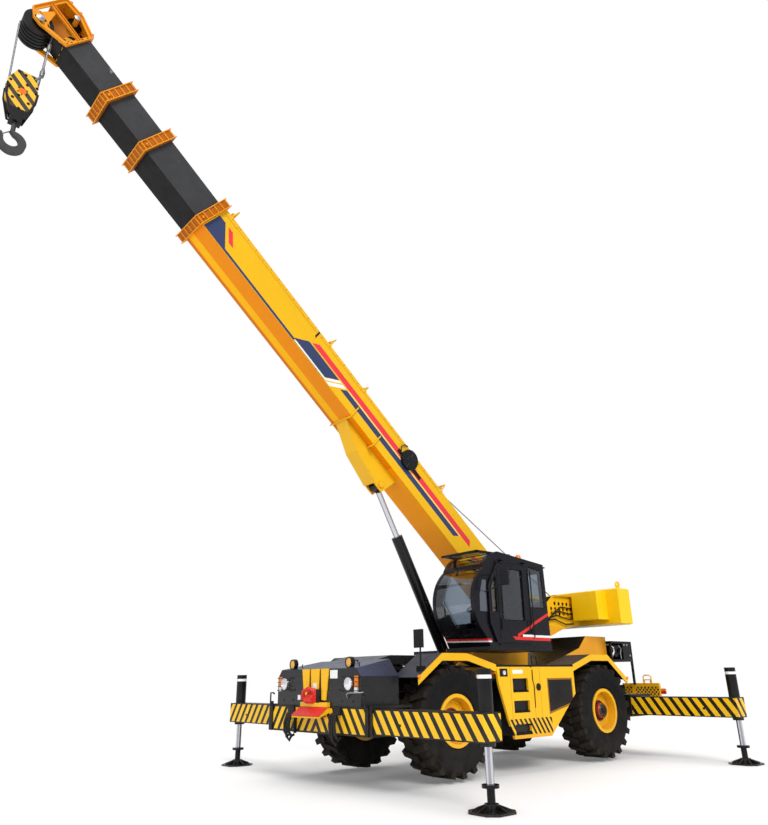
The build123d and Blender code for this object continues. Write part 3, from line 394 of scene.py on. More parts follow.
def boom_base_material():
    m = Mat("boom_base_paint", 0.34, spec=0.09)
    a, o = m.boom_axes()
    u = m.sum(a, o)
    side = m.facing(m.ny)
    below = m.both(m.gt(m.nx, 0.4), m.lt(m.nz, -0.5))
    # the lower plate: orange paint with a painted highlight in a band along its middle, painted shade at its far edge,
    # brighter short of 3.9 along
    underside_paint_and_light = m.layers((0.82, 0.255, 0.001), (m.between(m.y, -0.19, -0.04), (0.93, 0.45, 0.001)),
                     (m.lt(m.y, -0.21), (0.62, 0.17, 0.003)), (m.lt(a, 3.9), (0.98, 0.34, 0.001)))
    # the side faces a lighter yellow than the orange of the others: painted light on the sides
    color = m.layers(ORANGE, (below, underside_paint_and_light), (side, (0.76, 0.43, 0.012)))
    # stripes on both sides of the tube, from its lower edge at 0.25 up
    thin = m.both(m.between(a, 6.60, 8.40), m.between(o, 0.258, 0.305))
    wedge = m.both(m.gt(m.sum(a, (o, -0.954)), 8.06), m.between(o, 0.258, 0.642), m.lt(a, 8.81))
    slash = m.both(m.between(m.sum(a, (o, -1.0)), 7.85, 7.955), m.between(o, 0.435, 0.640))
    panel = m.both(m.between(o, 0.305, 0.517), m.between(u, 6.12, 6.93))
    foot = m.between(u, 6.05, 6.86)
    under = m.both(m.between(o, 0.272, 0.302), foot)
    line = m.both(m.between(o, 0.262, 0.272), foot)
    bars = m.both(m.between(o, 0.268, 0.517), m.any(m.between(u, 6.05, 6.11), m.between(u, 5.93, 6.02)))
    length = m.between(u, 2.60, 5.895)
    narrow = m.both(m.between(o, 0.407, 0.510), length)
    pale = m.both(m.between(o, 0.516, 0.536), length)
    long_red = m.both(m.between(o, 0.543, 0.650), m.lt(u, 6.91), m.gt(m.sum(a, (o, -0.57)), 1.47))
    body = m.both(side, m.lt(a, 8.81), m.lt(m.abs(m.y), 0.2715))
    graphics = ((pale, (0.90, 0.62, 0.18)), (m.any(under, bars), WHITE), (m.any(thin, wedge, panel, narrow), NAVY),
                (line, BLACK), (m.any(slash, long_red), (0.74, 0.045, 0.06)))
    # past 8.832 along: the end ring, in painted shade between the collar ribs
    color = m.layers(color, *[(m.both(body, mask), paint) for mask, paint in graphics], (m.gt(a, 8.832), SHADED_RING))
    return m.finish(color, vary=0.05, wear=0.2, wear_color=(0.3, 0.15, 0.03))


def section_material(name, ring_start):
    m = Mat(name, 0.45, spec=0.16)
    a, o = m.boom_axes()
    side = m.facing(m.ny)
    mottle = m.noise(1.0, 5.0, 0.0, 0.3, stretch=(7.0, 7.0, 7.0))
    scrape = m.both(side, m.gt(m.noise(3.0, 2.0, 0.0, 1.0, stretch=(3.0, 9.0, 3.0)), 0.93), m.gt(o, 0.66))
    # the side faces a lighter grey than the top and bottom: painted light on the sides
    color = m.layers((0.004, 0.004, 0.0045), (side, (0.045, 0.046, 0.050)), (mottle, (0.02, 0.02, 0.02)),
                     (scrape, (0.16, 0.16, 0.16)), (m.gt(a, ring_start), SHADED_RING))
    return m.finish(color, vary=0.12, wear=0.25, wear_color=(0.2, 0.17, 0.12))


def hook_block_material():
    m = Mat("hook_block_paint", 0.42)
    face = m.both(m.facing(m.ny), m.gt(m.z, BLOCK_Z - 0.30))
    across = m.sum((m.x, -1.0), (m.z, 1.0))
    pattern = m.stripes(across, 0.20, (0.055, 0.042, 0.030), (0.82, 0.47, 0.03), 0.46)
    centre = m.lt(m.reach(m.x, BLOCK_X, m.z, BLOCK_Z), 0.0026)
    pattern = m.mix(centre, pattern, (0.80, 0.16, 0.01))
    return m.finish(m.mix(face, BLACK, pattern), wear=0.35, dust=0.1)


def jack_material():
    """Chrome with painted darker reflections in bands by the face's direction, black at its foot."""
    m = Mat("jack_steel", 0.16, metal=1.0)
    low = m.lt(m.z, 0.275)
    # painted reflections: darker bands on the faces turned certain ways
    shade = m.sum((m.nx, 0.75), (m.ny, 0.65))
    color = m.layers(BRIGHT, (m.between(shade, 0.15, 0.52), (0.20, 0.20, 0.23)),
                     (m.between(shade, 0.93, 1.1), (0.34, 0.34, 0.38)), (low, SOOT))
    out = m.finish(color, vary=0.05, bump=0.004, edge=0.0)
    m.put(m.math("SUBTRACT", 1.0, m.both(low, 0.8)), m.b.inputs["Metallic"])
    return out


def rod_material():
    """Chrome with painted darker reflections in bands by the face's direction, its eye at the boom in black."""
    m = Mat("luffing_rod_chrome", 0.16, metal=1.0)
    a, o = m.boom_axes()
    eye = m.lt(m.reach(a, 3.818, o, -0.05), 0.015)
    # painted reflections: darker bands on the faces turned certain ways
    shade = m.sum((m.nx, 0.5), (m.ny, 0.85))
    color = m.layers(BRIGHT, (m.between(shade, 0.25, 0.60), (0.22, 0.22, 0.26)), (eye, SOOT))
    out = m.finish(color, vary=0.04, bump=0.004, edge=0.0)
    m.put(m.math("SUBTRACT", 1.0, eye), m.b.inputs["Metallic"])
    return out


def cab_material():
    m = Mat("cab_paint", 0.26, coat=0.06)
    level = m.sum((m.y, 0.03), m.z)
    front, front_white = (m.both(m.gt(m.x, 1.0), m.between(level, *ends)) for ends in ((1.915, 1.945), (1.895, 1.915)))
    # a long arrow on the door's rear and the panel behind it
    outer = m.gt(m.y, 1.278)
    upper = m.sum((m.x, 0.42), m.z)
    arrow_up = m.both(outer, m.between(upper, 2.115, 2.165), m.between(m.x, -0.47, 0.42), m.gt(m.z, 1.95))
    point = m.sum((m.z, 1.4), -2.18)
    arrow_low = m.both(outer, m.between(m.z, 1.90, 1.95), m.between(m.x, -0.47, point))
    arrow_white = m.both(outer, m.between(m.z, 1.95, 1.985), m.between(m.x, -0.47, 0.30))
    # painted sky sheen: the top faces a lighter bluish black than the rest
    color = m.layers((0.004, 0.004, 0.007), (m.gt(m.nz, 0.5), (0.011, 0.011, 0.016)),
                     (m.any(front_white, arrow_white), WHITE), (m.any(front, arrow_up, arrow_low), RED))
    return m.finish(color, vary=0.1, bump=0.006, wear=0.08, wear_color=(0.15, 0.15, 0.16))


def guard_material():
    """Yellow paint with a diamond mesh in the two panels, its openings painted dark as painted shade seen through
    them.
    """
    m = Mat("guard_paint", 0.4)
    u, v = m.both(m.y, 13.0), m.both(m.z, 13.0)
    rows = [m.gt(m.abs(m.math("SINE", m.both(m.math(op, u, v), math.pi))), 0.45) for op in ("ADD", "SUBTRACT")]
    panel = m.both(m.between(m.z, 0.91, 1.14), m.facing(m.nx), m.gt(m.abs(m.sum(m.abs(m.y), -0.6)), 0.04))
    # the dark diamonds: painted shade in the mesh's openings
    return m.finish(m.mix(m.both(*rows, panel), YELLOW, (0.03, 0.02, 0.012)), dust=0.4, wear=0.3)


def glass_material():
    m = Mat("tinted_glass", 0.03, coat=0.6)
    for key, value in (("Base Color", (0.50, 0.56, 0.62)), ("Transmission Weight", 1.0), ("IOR", 1.45),
                       ("Roughness", m.noise(3.0, 5.0, 0.015, 0.05))):
        m.put(value, m.b.inputs[key])
    return m.m


def rope_material():
    m = Mat("wire_rope", 0.45, metal=0.8)
    w = m.node("ShaderNodeTexWave")
    w.wave_type = "BANDS"
    w.bands_direction = "DIAGONAL"
    w.inputs["Scale"].default_value = 42.0
    m.put(m.co, w.inputs["Vector"])
    return m.finish(m.mix(w.outputs["Fac"], (0.09, 0.09, 0.10), (0.36, 0.36, 0.37)), bump=0.0, edge=0.0)


def head_plate_material():
    m = Mat("head_stripes", 0.4)
    a, o = m.boom_axes()
    return m.finish(m.stripes(m.sum(m.y, (o, 0.8)), 0.13, BLACK, HEAD_YELLOW), wear=0.2)


def partition_material():
    """The head's partition: striped at the rear, darker orange between the sheaves as painted shade, black low down.
    """
    m = Mat("head_web_paint", 0.45)
    a, o = m.boom_axes()
    # past 12.12 along: painted shade between the sheaves
    color = m.layers(m.stripes(m.sum(a, (o, 1.1)), 0.16, BLACK, HEAD_YELLOW),
                     (m.gt(a, 12.12), (0.52, 0.17, 0.008)), (m.lt(o, 0.44), BLACK))
    return m.finish(color, wear=0.2)


glass, rope_steel, cab_paint, rim_paint = glass_material(), rope_material(), cab_material(), rim_material()
dressed = [
    (black, "carrier_deck rear_housing head_sheaves"),
    (black_gloss, "luffing_barrel"),
    (plastic, "front_mirror cab_seat cab_controls"),
    (iron, "slewing_ring front_axle rear_axle main_winch_drum auxiliary_winch_drum"),
    (cab_paint, "cab_shell cab_door"),
    (glass, "cab_glass door_glass"),
    (clear_lens, "lamps"),
    (yellow, "front_step"),
    (orange, "boom_head"),
    (castgrey, "engine_block"),
    (weight_paint, "counterweight"),
    (rope_steel, "hoist_falls"),
    (forged, "hook"),
    (frame_material(), "chassis_frame"),
    (fender_material(), "fenders"),
    (side_material(), "side_boxes"),
    (hood_material(), "front_hood"),
    (engine_hood_material(), "engine_hood"),
    (guard_material(), "rear_guard"),
    (upper_material(), "upper_frame"),
    (boom_base_material(), "boom_base"),
    (section_material("section_2_paint", 10.118), "boom_section_2"),
    (section_material("section_3_paint", 10.958), "boom_section_3"),
    (section_material("section_4_paint", 99.0), "boom_section_4"),
    (hook_block_material(), "hook_block"),
    (rod_material(), "luffing_rod"),
]
for material, kind in ((tyre_material(), "tyre_"), (rim_paint, "rim_"), (iron, "knuckle_"),
                       (beam_material(), "outrigger_beam_"), (jack_material(), "outrigger_jack_"),
                       (black_gloss, "outrigger_pad_")):
    dressed.append((material, " ".join(kind + corner for corner in CORNERS)))
for material, names in dressed:
    for name in names.split():
        materials = nodes[name].data.materials
        materials.clear()
        materials.append(material)


# Mesh building
def circle(cx, cy, r, count, start=0.0):
    turns = [2 * math.pi * (k + start) / count for k in range(count)]
    return [(cx + r * math.cos(t), cy + r * math.sin(t)) for t in turns]


def ring(x, y, z, r, count, start=0.0):
    """Points on a circle that faces the side."""
    return [(a, y, b) for a, b in circle(x, z, r, count, start)]


def rect(a0, b0, a1, b1):
    return [(a0, b0), (a1, b0), (a1, b1), (a0, b1)]


def band(a0, b0, a1, b1, rise):
    """A sloping strip of constant height."""
    return [(a0, b0), (a1, b1), (a1, b1 + rise), (a0, b0 + rise)]


def on_side(x, z, y):
    return (x, y, z)


def on_boom_side(a, o, y):
    return boom(a, y, o)


def across_boom(y, o, a):
    return boom(a, y, o)


class Build:
    """Vertices and faces of one piece."""

    def __init__(self):
        self.v, self.f = [], []

    def add(self, verts, faces):
        base = len(self.v)
        self.v += [tuple(p) for p in verts]
        self.f += [[i + base for i in f] for f in faces]

    def box(self, corner, opposite):
        xs, ys, zs = (sorted(pair) for pair in zip(corner, opposite))
        self.add([(x, y, z) for x in xs for y in ys for z in zs],
                 [(0, 1, 3, 2), (4, 6, 7, 5), (0, 4, 5, 1), (2, 3, 7, 6), (0, 2, 6, 4), (1, 5, 7, 3)])

    def skin(self, rings, closed=False):
        """Faces between rings of points, with a cap at each end of an open row."""
        count, sides = len(rings), len(rings[0])
        faces = []
        for i in range(count if closed else count - 1):
            j = (i + 1) % count
            for k in range(sides):
                q = (k + 1) % sides
                faces.append((i * sides + k, i * sides + q, j * sides + q, j * sides + k))
        if not closed:
            faces.append(tuple(range(sides - 1, -1, -1)))
            faces.append(tuple((count - 1) * sides + k for k in range(sides)))
        self.add([p for points in rings for p in points], faces)

    def tube(self, points, radius, sides=8, radii=None, closed=False):
        """A round bar along a line of points, with mitred bends."""
        pts = [Vector(p) for p in points]
        n = len(pts)
        turns = [2 * math.pi * k / sides for k in range(sides)]
        rings = []
        side = None
        for i, p in enumerate(pts):
            a = pts[(i - 1) % n] if closed or i else p
            b = pts[(i + 1) % n] if closed or i < n - 1 else p
            d = (b - a).normalized()
            if side is None:
                side = d.orthogonal().normalized()
            side = (side - d * side.dot(d)).normalized()
            up = d.cross(side)
            r = radii[i] if radii else radius
            rings.append([p + (side * math.cos(t) + up * math.sin(t)) * r for t in turns])
        self.skin(rings, closed)

    def lathe(self, origin, axis, profile, sides=24):
        """Turned form: profile is (distance along the axis, radius)."""
        origin, axis = Vector(origin), Vector(axis).normalized()
        side = axis.orthogonal().normalized()
        up = axis.cross(side)
        turns = [2 * math.pi * k / sides for k in range(sides)]
        self.skin([[origin + axis * d + (side * math.cos(t) + up * math.sin(t)) * r for t in turns]
                   for d, r in profile])

    def plate(self, outline, thickness):
        """A flat plate: outline is 3-D points in a plane, thickened along the plane's normal."""
        pts = [Vector(p) for p in outline]
        n = len(pts)
        normal = sum((p.cross(pts[(i + 1) % n]) for i, p in enumerate(pts)), Vector((0, 0, 0)))
        normal = normal.normalized() * thickness
        faces = [tuple(range(n - 1, -1, -1)), tuple(range(n, 2 * n))]
        faces += [(i, (i + 1) % n, n + (i + 1) % n, n + i) for i in range(n)]
        self.add(pts + [p + normal for p in pts], faces)

    def panel(self, loops, place, low, high):
        """A plate with openings: an outline and its holes in two coordinates, placed between two depths."""
        flat = [p for loop in loops for p in loop]
        n = len(flat)
        tris = tessellate_polygon([[Vector((a, b, 0)) for a, b in loop] for loop in loops])
        faces = [tuple(t) for t in tris] + [tuple(i + n for i in reversed(t)) for t in tris]
        start = 0
        for loop in loops:
            m = len(loop)
            for i in range(m):
                j = (i + 1) % m
                faces.append((start + i, start + j, start + j + n, start + i + n))
            start += m
        self.add([place(a, b, depth) for depth in (low, high) for a, b in flat], faces)

    def bolts(self, places, side, radius=0.012, height=0.010):
        """Hexagon heads with a washer each, facing along side."""
        for p in places:
            self.lathe(p, side, [(-0.002, radius * 1.6), (0.003, radius * 1.6)], 14)
            self.lathe(p, side, [(0.003, radius), (height, radius), (height + 0.002, radius * 0.85)], 6)

    def make(self, name, body, material, slot, bevel=0.0, angle=35.0):
        mesh = bpy.data.meshes.new(name)
        mesh.from_pydata(self.v, [], self.f)
        shape = bmesh.new()
        shape.from_mesh(mesh)
        bmesh.ops.recalc_face_normals(shape, faces=shape.faces)
        shape.to_mesh(mesh)
        shape.free()
        mesh.update()
        for poly in mesh.polygons:
            poly.use_smooth = True
        mesh.set_sharp_from_angle(angle=math.radians(angle))
        obj = bpy.data.objects.new(name, mesh)
        bpy.context.scene.collection.objects.link(obj)
        if bevel:
            mod = obj.modifiers.new("edges", "BEVEL")
            mod.width = bevel
            mod.segments = 2
            mod.limit_method = "ANGLE"
            mod.angle_limit = math.radians(40)
        mesh.materials.append(material)
        if body:
            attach(obj, body)
        return obj


# Wheels: the nuts with the hub cap, and the rim's two rings
for corner, (fore, side) in CORNERS.items():
    x, y, z = fore * AXLE_X, side * WHEEL_Y, AXLE_Z
    out = (0, side, 0)
    nuts, beads = Build(), Build()
    for p in ring(x, y + side * 0.113, z, 0.142, 20):
        nuts.lathe(p, out, [(0, 0.013), (0.020, 0.013), (0.022, 0.009), (0.034, 0.008)], 6)
    for p in ring(x, y + side * 0.205, z, 0.075, 8, 0.5):
        nuts.lathe(p, out, [(0, 0.008), (0.009, 0.008)], 6)
    nuts.lathe((x, y + side * 0.205, z), out, [(0, 0.05), (0.014, 0.05), (0.020, 0.035)])
    nuts.make("wheel_nuts_" + corner, "wheel_" + corner, iron, "rim")
    for r, depth in ((0.315, 0.222), (0.262, 0.095)):
        beads.tube(ring(x, y + side * depth, z, r, 48), 0.012, closed=True)
    beads.make("rim_rings_" + corner, "wheel_" + corner, rim_paint, "rim")

# Front of the carrier: bars on the hood, plates, towing gear, the folded step
bars, plates, shackle, gear, pipe, step = (Build() for _ in range(6))
# each bar: its top corners' y, its bottom corners' y, its foot
for y0, y1, y2, y3, foot in ((-0.345, -0.165, -0.285, -0.180, 1.085), (-0.125, 0.085, -0.105, 0.065, 1.13),
                             (0.125, 0.31, 0.15, 0.25, 1.085)):
    bars.plate([(X, y2, foot), (X, y3, foot), (X, y1, 1.50), (X, y0, 1.50)], 0.02)
bars.make("front_bars", "carrier", yellow, "body_yellow", 0.003)
for y0, y1, z0, z1, proud in ((0.33, 0.50, 1.37, 1.48, 0.004), (-0.47, -0.40, 1.085, 1.15, 0.004),
                              (-0.06, 0.03, 1.24, 1.31, 0.024)):
    plates.box((X, y0, z0), (X + proud, y1, z1))
plates.make("blank_plates", "carrier", white, "body_yellow")
shackle.tube([(X + 0.02, -0.17, 1.07), (X + 0.10, -0.19, 1.11), (X + 0.13, -0.14, 1.20),
              (X + 0.11, -0.05, 1.24), (X + 0.06, 0.0, 1.22), (X + 0.02, 0.02, 1.14)], 0.028, 10)
shackle.lathe((X + 0.06, -0.10, 1.10), (0, 1, 0), [(-0.07, 0.05), (-0.06, 0.06), (0.11, 0.06), (0.12, 0.05)], 20)
shackle.box((X, -0.15, 1.06), (X + 0.06, 0.06, 1.22))
shackle.make("tow_shackle", "carrier", red, "frame_black", 0.004)
gear.box((X, 0.06, 1.05), (X + 0.05, 0.14, 1.23))
for y, way in ((-0.52, -1), (0.44, 1)):
    for k in range(3):
        w = y + way * 0.055 * k
        sag = 0.06 * (k % 2)
        gear.tube([(X, w, 0.93), (X + 0.07, w, 0.90), (X + 0.10, w + way * 0.02, 0.78 - sag),
                   (X + 0.09, w + way * 0.03, 0.66 - sag), (X + 0.04, w + way * 0.03, 0.60 - sag),
                   (X, w + way * 0.02, 0.62)], 0.020, 10)
    gear.box((X, y, 0.90), (X + 0.035, y + way * 0.16, 1.0))
    gear.box((X, y - way * 0.04, 0.64), (X + 0.03, y, 0.86))
for side in SIDES:
    y0, y1 = side * 1.10, side * 1.16
    gear.box((X, side * 1.13, 0.655), (X + 0.02, side * 1.19, 1.06))
    gear.tube([(X + 0.01, y0, 1.16), (X + 0.04, y0, 1.18), (X + 0.04, y1, 1.18), (X + 0.04, y1, 1.02),
               (X + 0.01, y1, 1.0)], 0.012)
gear.make("tow_loops", "carrier", black, "frame_black", 0.003)
pipe.tube([(X + 0.005, 0.74, 1.12), (X + 0.04, 0.76, 1.165), (X + 0.045, 0.80, 1.185), (X + 0.045, 1.0, 1.19),
           (X - 0.02, 1.05, 1.19)], 0.008)
pipe.make("front_pipe", "carrier", steel, "steel")
step.plate([(X + 0.002, -0.335, 1.003), (X + 0.002, 0.335, 1.003), (3.402, 0.345, 1.001), (3.402, -0.345, 1.001)],
           0.006)
step.plate([(3.40, -0.34, 1.004), (3.565, -0.34, 0.882), (3.565, 0.34, 0.882), (3.40, 0.34, 1.004)], 0.006)
for k in range(7):
    y = -0.27 + 0.09 * k
    step.box((3.40, y - 0.006, 0.87), (3.55, y + 0.006, 0.89))
step.make("folded_step_cover", "carrier", red, "frame_black", 0.002)


# Lamps
def round_lamp(rim, pane, centre, r, depth):
    """A shell that faces forward, and its domed glass."""
    shell = [(0, r * 0.8), (0.004, r), (depth * 0.75, r), (depth, r * 0.96), (depth, r * 0.86),
             (depth * 0.8, r * 0.84), (depth * 0.5, r * 0.5), (depth * 0.45, 0.001)]
    dome = [(depth * 0.70, r * 0.845), (depth * 0.88, r * 0.8), (depth * 1.0, r * 0.5), (depth * 1.04, 0.001)]
    rim.lathe(centre, (1, 0, 0), shell, 32)
    pane.lathe(centre, (1, 0, 0), dome, 32)


rims, work_rims, work_panes, panes, ambers, reds, guards = (Build() for _ in range(7))
for side in SIDES:
    out = (0, side, 0)
    round_lamp(rims, panes, (X, side * 0.79, 1.30), 0.086, 0.045)
    y = side * 0.70
    round_lamp(work_rims, work_panes, (3.27, y, 1.575), 0.075, 0.07)
    work_rims.box((3.25, y - 0.012, 1.47), (3.30, y + 0.012, 1.53))
    work_rims.tube([(3.20, y - 0.08, 1.575), (3.22, y - 0.085, 1.49), (3.22, y + 0.085, 1.49),
                    (3.20, y + 0.08, 1.575)], 0.008)
    for glassy, z0, z1 in ((ambers, 1.30, 1.40), (panes, 1.20, 1.255), (ambers, 1.258, 1.296)):
        glassy.box((X, side * 0.90, z0), (X + 0.02, side * 0.97, z1))
    for k in range(4):
        z = 1.215 + 0.055 * k
        guards.tube([(X + 0.028, side * 0.62, z), (X + 0.028, side * 1.0, z)], 0.004)
    for y in (0.62, 1.0):
        for z0, z1 in ((1.20, 1.215), (1.39, 1.38)):
            guards.tube([(X + 0.002, side * y, z0), (X + 0.028, side * y, z1)], 0.004)
    ambers.box((0.99, side * 1.2, 1.40), (1.01, side * 1.31, 1.43))
    for x, z in ((2.575, 1.375), (-2.575, 1.305)):
        ambers.lathe((x, side * 1.301, z), out, [(0, 0.028), (0.012, 0.026), (0.016, 0.015)], 20)
    y0, y1 = side * 1.2 - 0.055, side * 1.2 + 0.055
    reds.box((LENS_X[0], y0, 1.005), (LENS_X[1], y1, 1.055))
    ambers.box((LENS_X[0], y0, 1.058), (LENS_X[1], y1, 1.098))
rims.make("lamp_rings", "carrier", chrome, "lamp")
work_rims.make("work_lamp_rings", "carrier", black, "frame_black")
work_panes.make("work_lamp_lenses", "carrier", warm_lens, "lamp")
panes.make("lamp_lenses", "carrier", clear_lens, "lamp")
ambers.make("amber_lamps", "carrier", amber, "lamp", 0.002)
reds.make("red_lamps", "carrier", red_lens, "lamp", 0.002)
guards.make("lamp_bars", "carrier", black, "frame_black")

# Side boxes: step treads with teeth, latches, hand holds, blank plates; the rear guard's handles
treads, sills, small, labels, side_lamps, loops = (Build() for _ in range(6))
for side in SIDES:
    y = side * BODY_Y
    out = (0, side, 0)
    for low in (1.14, 0.85, 0.54):
        treads.box((0.235, side * 1.255, low - 0.012), (0.615, y, low + 0.004))
        for k in range(10):
            x = 0.255 + 0.038 * k
            treads.box((x, side * 1.262, low + 0.004), (x + 0.012, y, low + 0.020))
        sills.box((0.23, side * 1.258, low - 0.03), (0.62, side * 1.299, low - 0.012))
    small.lathe((-0.005, y, 1.20), out, [(0, 0.055), (0.012, 0.055), (0.02, 0.04)])
    small.box((0.72, y, 1.36), (0.90, side * 1.304, 1.475))
    small.tube([(0.16, y, 1.50), (0.16, side * 1.34, 1.52), (0.16, side * 1.34, 1.60), (0.12, y, 1.66),
                (-0.02, side * 1.28, 1.66), (-0.06, side * 1.27, 1.52)], 0.012)
    small.tube([(x, side * 1.305, z) for x, z in ((0.13, 1.45), (0.13, 1.30), (0.10, 1.22), (0.11, 0.9))], 0.007)
    labels.box((0.36, y, 1.40), (0.60, side * 1.303, 1.455))
    side_lamps.lathe((0.80, side * 1.302, 1.415), out, [(0, 0.035), (0.012, 0.033), (0.02, 0.015)], 20)
for y in (-0.90, 0.90):
    loops.tube([(LOOP_X, y + dy, z) for dy, z in ((-0.085, 1.165), (-0.085, 1.31), (-0.055, 1.345), (0.055, 1.345),
                                                  (0.085, 1.31), (0.085, 1.165))], 0.012)
for side in SIDES:
    loops.box((-3.955, side * 0.35, 1.17), (-3.905, side * 1.15, 1.20))
loops.make("rear_guard_loops", "carrier", yellow, "body_yellow", 0.002)
treads.make("step_treads", "carrier", black, "frame_black", 0.002)
sills.make("step_sills", "carrier", orange, "body_yellow", 0.002)
small.make("side_latches", "carrier", plastic, "plastic", 0.002)
labels.make("side_plates_blank", "carrier", white, "body_yellow")
side_lamps.make("side_lamps", "carrier", clear_lens, "lamp")

# The hood's bolts and grip
hood = Build()
for side in SIDES:
    hood.bolts([(2.78 + 0.13 * k, side, 1.35) for k in range(4)], (0, side, 0), 0.008, 0.006)
rows = [(y, 1.08) for y in (-0.85, -0.6, 0.6, 0.85)] + [(y, 1.22) for y in (-0.55, 0.55)]
hood.bolts([(X, y, z) for y, z in rows], (1, 0, 0), 0.010, 0.008)
hood.tube([(2.95, y, z) for y, z in ((0.30, 1.577), (0.30, 1.61), (0.42, 1.61), (0.42, 1.577))], 0.008)
hood.make("hood_bolts", "carrier", black, "frame_black")


# Cab: beacon, gaskets, the sliding door, wiper, mirror, hand rail and visor
def outline_tube(build, pts, y, r):
    build.tube([(x, y, z) for x, z in pts], r, closed=True)


DOOR = [(0.04, 1.86), (0.905, 1.86), (1.045, 2.14), (1.045, 2.71), (0.80, 3.08), (0.04, 3.08)]
DOOR_PANE = [(0.21, 2.20), (0.74, 2.20), (0.74, 2.95), (0.69, 3.0), (0.21, 3.0)]
QUARTER = [(0.87, 2.31), (1.0, 2.31), (1.0, 2.70), (0.905, 2.85), (0.87, 2.86)]
REAR_PANE = [(0.005, 2.425), (-0.375, 2.425), (-0.355, 3.035), (0.005, 3.075)]
RIGHT_PANE = [(0.895, 2.155), (-0.375, 2.305), (-0.355, 3.035), (0.715, 3.115), (0.995, 2.895), (1.175, 2.505)]
BACK_PANE = ((0.50, 2.42), (1.16, 2.42), (1.16, 3.02), (0.50, 3.02))
FORE_PANE = [(1.065, 2.31), (1.235, 2.31), (1.225, 2.56), (1.15, 2.79), (1.065, 2.79)]
foot, dome, gasket, door, door_panes, trim, fore_pane, fittings, visor = (Build() for _ in range(9))
foot.lathe((-0.10, 1.02, 3.17), (0, 0, 1), [(0.0, 0.065), (0.03, 0.065), (0.035, 0.055)], 28)
foot.make("beacon_foot", "upper", plastic, "plastic")
dome.lathe((-0.10, 1.02, 3.205), (0, 0, 1),
           [(0.0, 0.054), (0.07, 0.052), (0.10, 0.044), (0.12, 0.025), (0.125, 0.001)], 28)
dome.make("beacon_dome", "upper", amber, "lamp")
outline_tube(gasket, REAR_PANE, 1.2735, 0.009)
outline_tube(gasket, RIGHT_PANE, 0.379, 0.009)
gasket.tube([(-0.452, y, z) for y, z in BACK_PANE], 0.009, closed=True)
gasket.make("window_gaskets", "upper", rubber, "plastic")
door.panel([DOOR, DOOR_PANE, QUARTER], on_side, 1.286, 1.320)
for x in (0.10, 0.67):
    door.box((x, 1.306, 3.06), (x + 0.06, 1.32, 3.14))
    door.box((x, 1.284, 3.1105), (x + 0.06, 1.32, 3.1405))
door.make("sliding_door", "door", cab_paint, "cab_black", 0.003)
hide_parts("cab_door")
for pane in (DOOR_PANE, QUARTER):
    door_panes.panel([pane], on_side, 1.294, 1.302)
door_panes.make("door_panes", "door", glass, "glass")
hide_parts("door_glass")
outline_tube(trim, DOOR_PANE, 1.321, 0.009)
outline_tube(trim, QUARTER, 1.321, 0.008)
trim.tube([(0.832, 1.321, 1.90), (0.832, 1.321, 3.0)], 0.006, 6)
trim.box((0.765, 1.320, 2.05), (0.80, 1.335, 2.22))
trim.tube([(0.13, 1.321, 2.20), (0.13, 1.345, 2.20), (0.13, 1.345, 2.02), (0.13, 1.321, 2.02)], 0.008)
trim.make("door_trim", "door", rubber, "plastic")
fore_pane.panel([FORE_PANE], on_side, 1.2805, 1.284)
fore_pane.make("quarter_pane", "upper", dark_pane, "glass")


def screen_x(z):
    """The windscreen's bow: the arc through the cab's three front points."""
    a, b, c = points = [Vector(p) for p in ((1.130, 1.960), (1.372, 2.420), (1.110, 2.985))]
    aa, bb, cc = (p.length_squared for p in points)
    d = 2 * (a.x * (b.y - c.y) + b.x * (c.y - a.y) + c.x * (a.y - b.y))
    centre = Vector(((aa * (b.y - c.y) + bb * (c.y - a.y) + cc * (a.y - b.y)) / d,
                     (aa * (c.x - b.x) + bb * (a.x - c.x) + cc * (b.x - a.x)) / d))
    return centre.x + math.sqrt(max((a - centre).length ** 2 - (z - centre.y) ** 2, 0.0))


# the wiper's arm and blade, each point: y, height, distance off the glass
for arm, r in ((((0.83, 2.10, 0.015), (0.78, 2.25, 0.02), (0.66, 2.50, 0.02)), 0.007),
               (((0.62, 2.25, 0.012), (0.655, 2.50, 0.012), (0.70, 2.85, 0.012)), 0.006)):
    fittings.tube([(screen_x(z) + off, y, z) for y, z, off in arm], r)
fittings.lathe((screen_x(2.10) - 0.01, 0.83, 2.10), (1, 0, 0.1), [(0, 0.03), (0.02, 0.03), (0.03, 0.02)], 16)
fittings.tube([(1.10, 1.27, 2.60), (1.06, 1.40, 2.64), (1.00, 1.56, 2.72), (1.00, 1.60, 2.80)], 0.009)
fittings.tube([(1.06, 1.27, 2.86), (1.04, 1.40, 2.88), (1.00, 1.56, 2.86), (1.00, 1.60, 2.80)], 0.008)
fittings.box((0.985, 1.54, 2.68), (1.015, 1.70, 2.94))
fittings.tube([(0.03, 1.305, 1.93), (0.03, 1.345, 1.95), (0.03, 1.345, 3.02), (0.03, 1.305, 3.04)], 0.011)
fittings.make("cab_wiper_and_mirror", "upper", plastic, "plastic", 0.003)
for k in range(9):
    x = 0.42 + 0.085 * k
    visor.tube([(x, 0.47, 3.235), (x, 1.19, 3.235)], 0.008)
for x0, y0, y1 in ((0.36, 0.43, 0.47), (0.36, 1.19, 1.23), (1.14, 0.43, 1.23)):
    visor.box((x0, y0, 3.228), (1.18, y1, 3.262))
visor.make("roof_visor", "upper", black, "cab_black", 0.003)


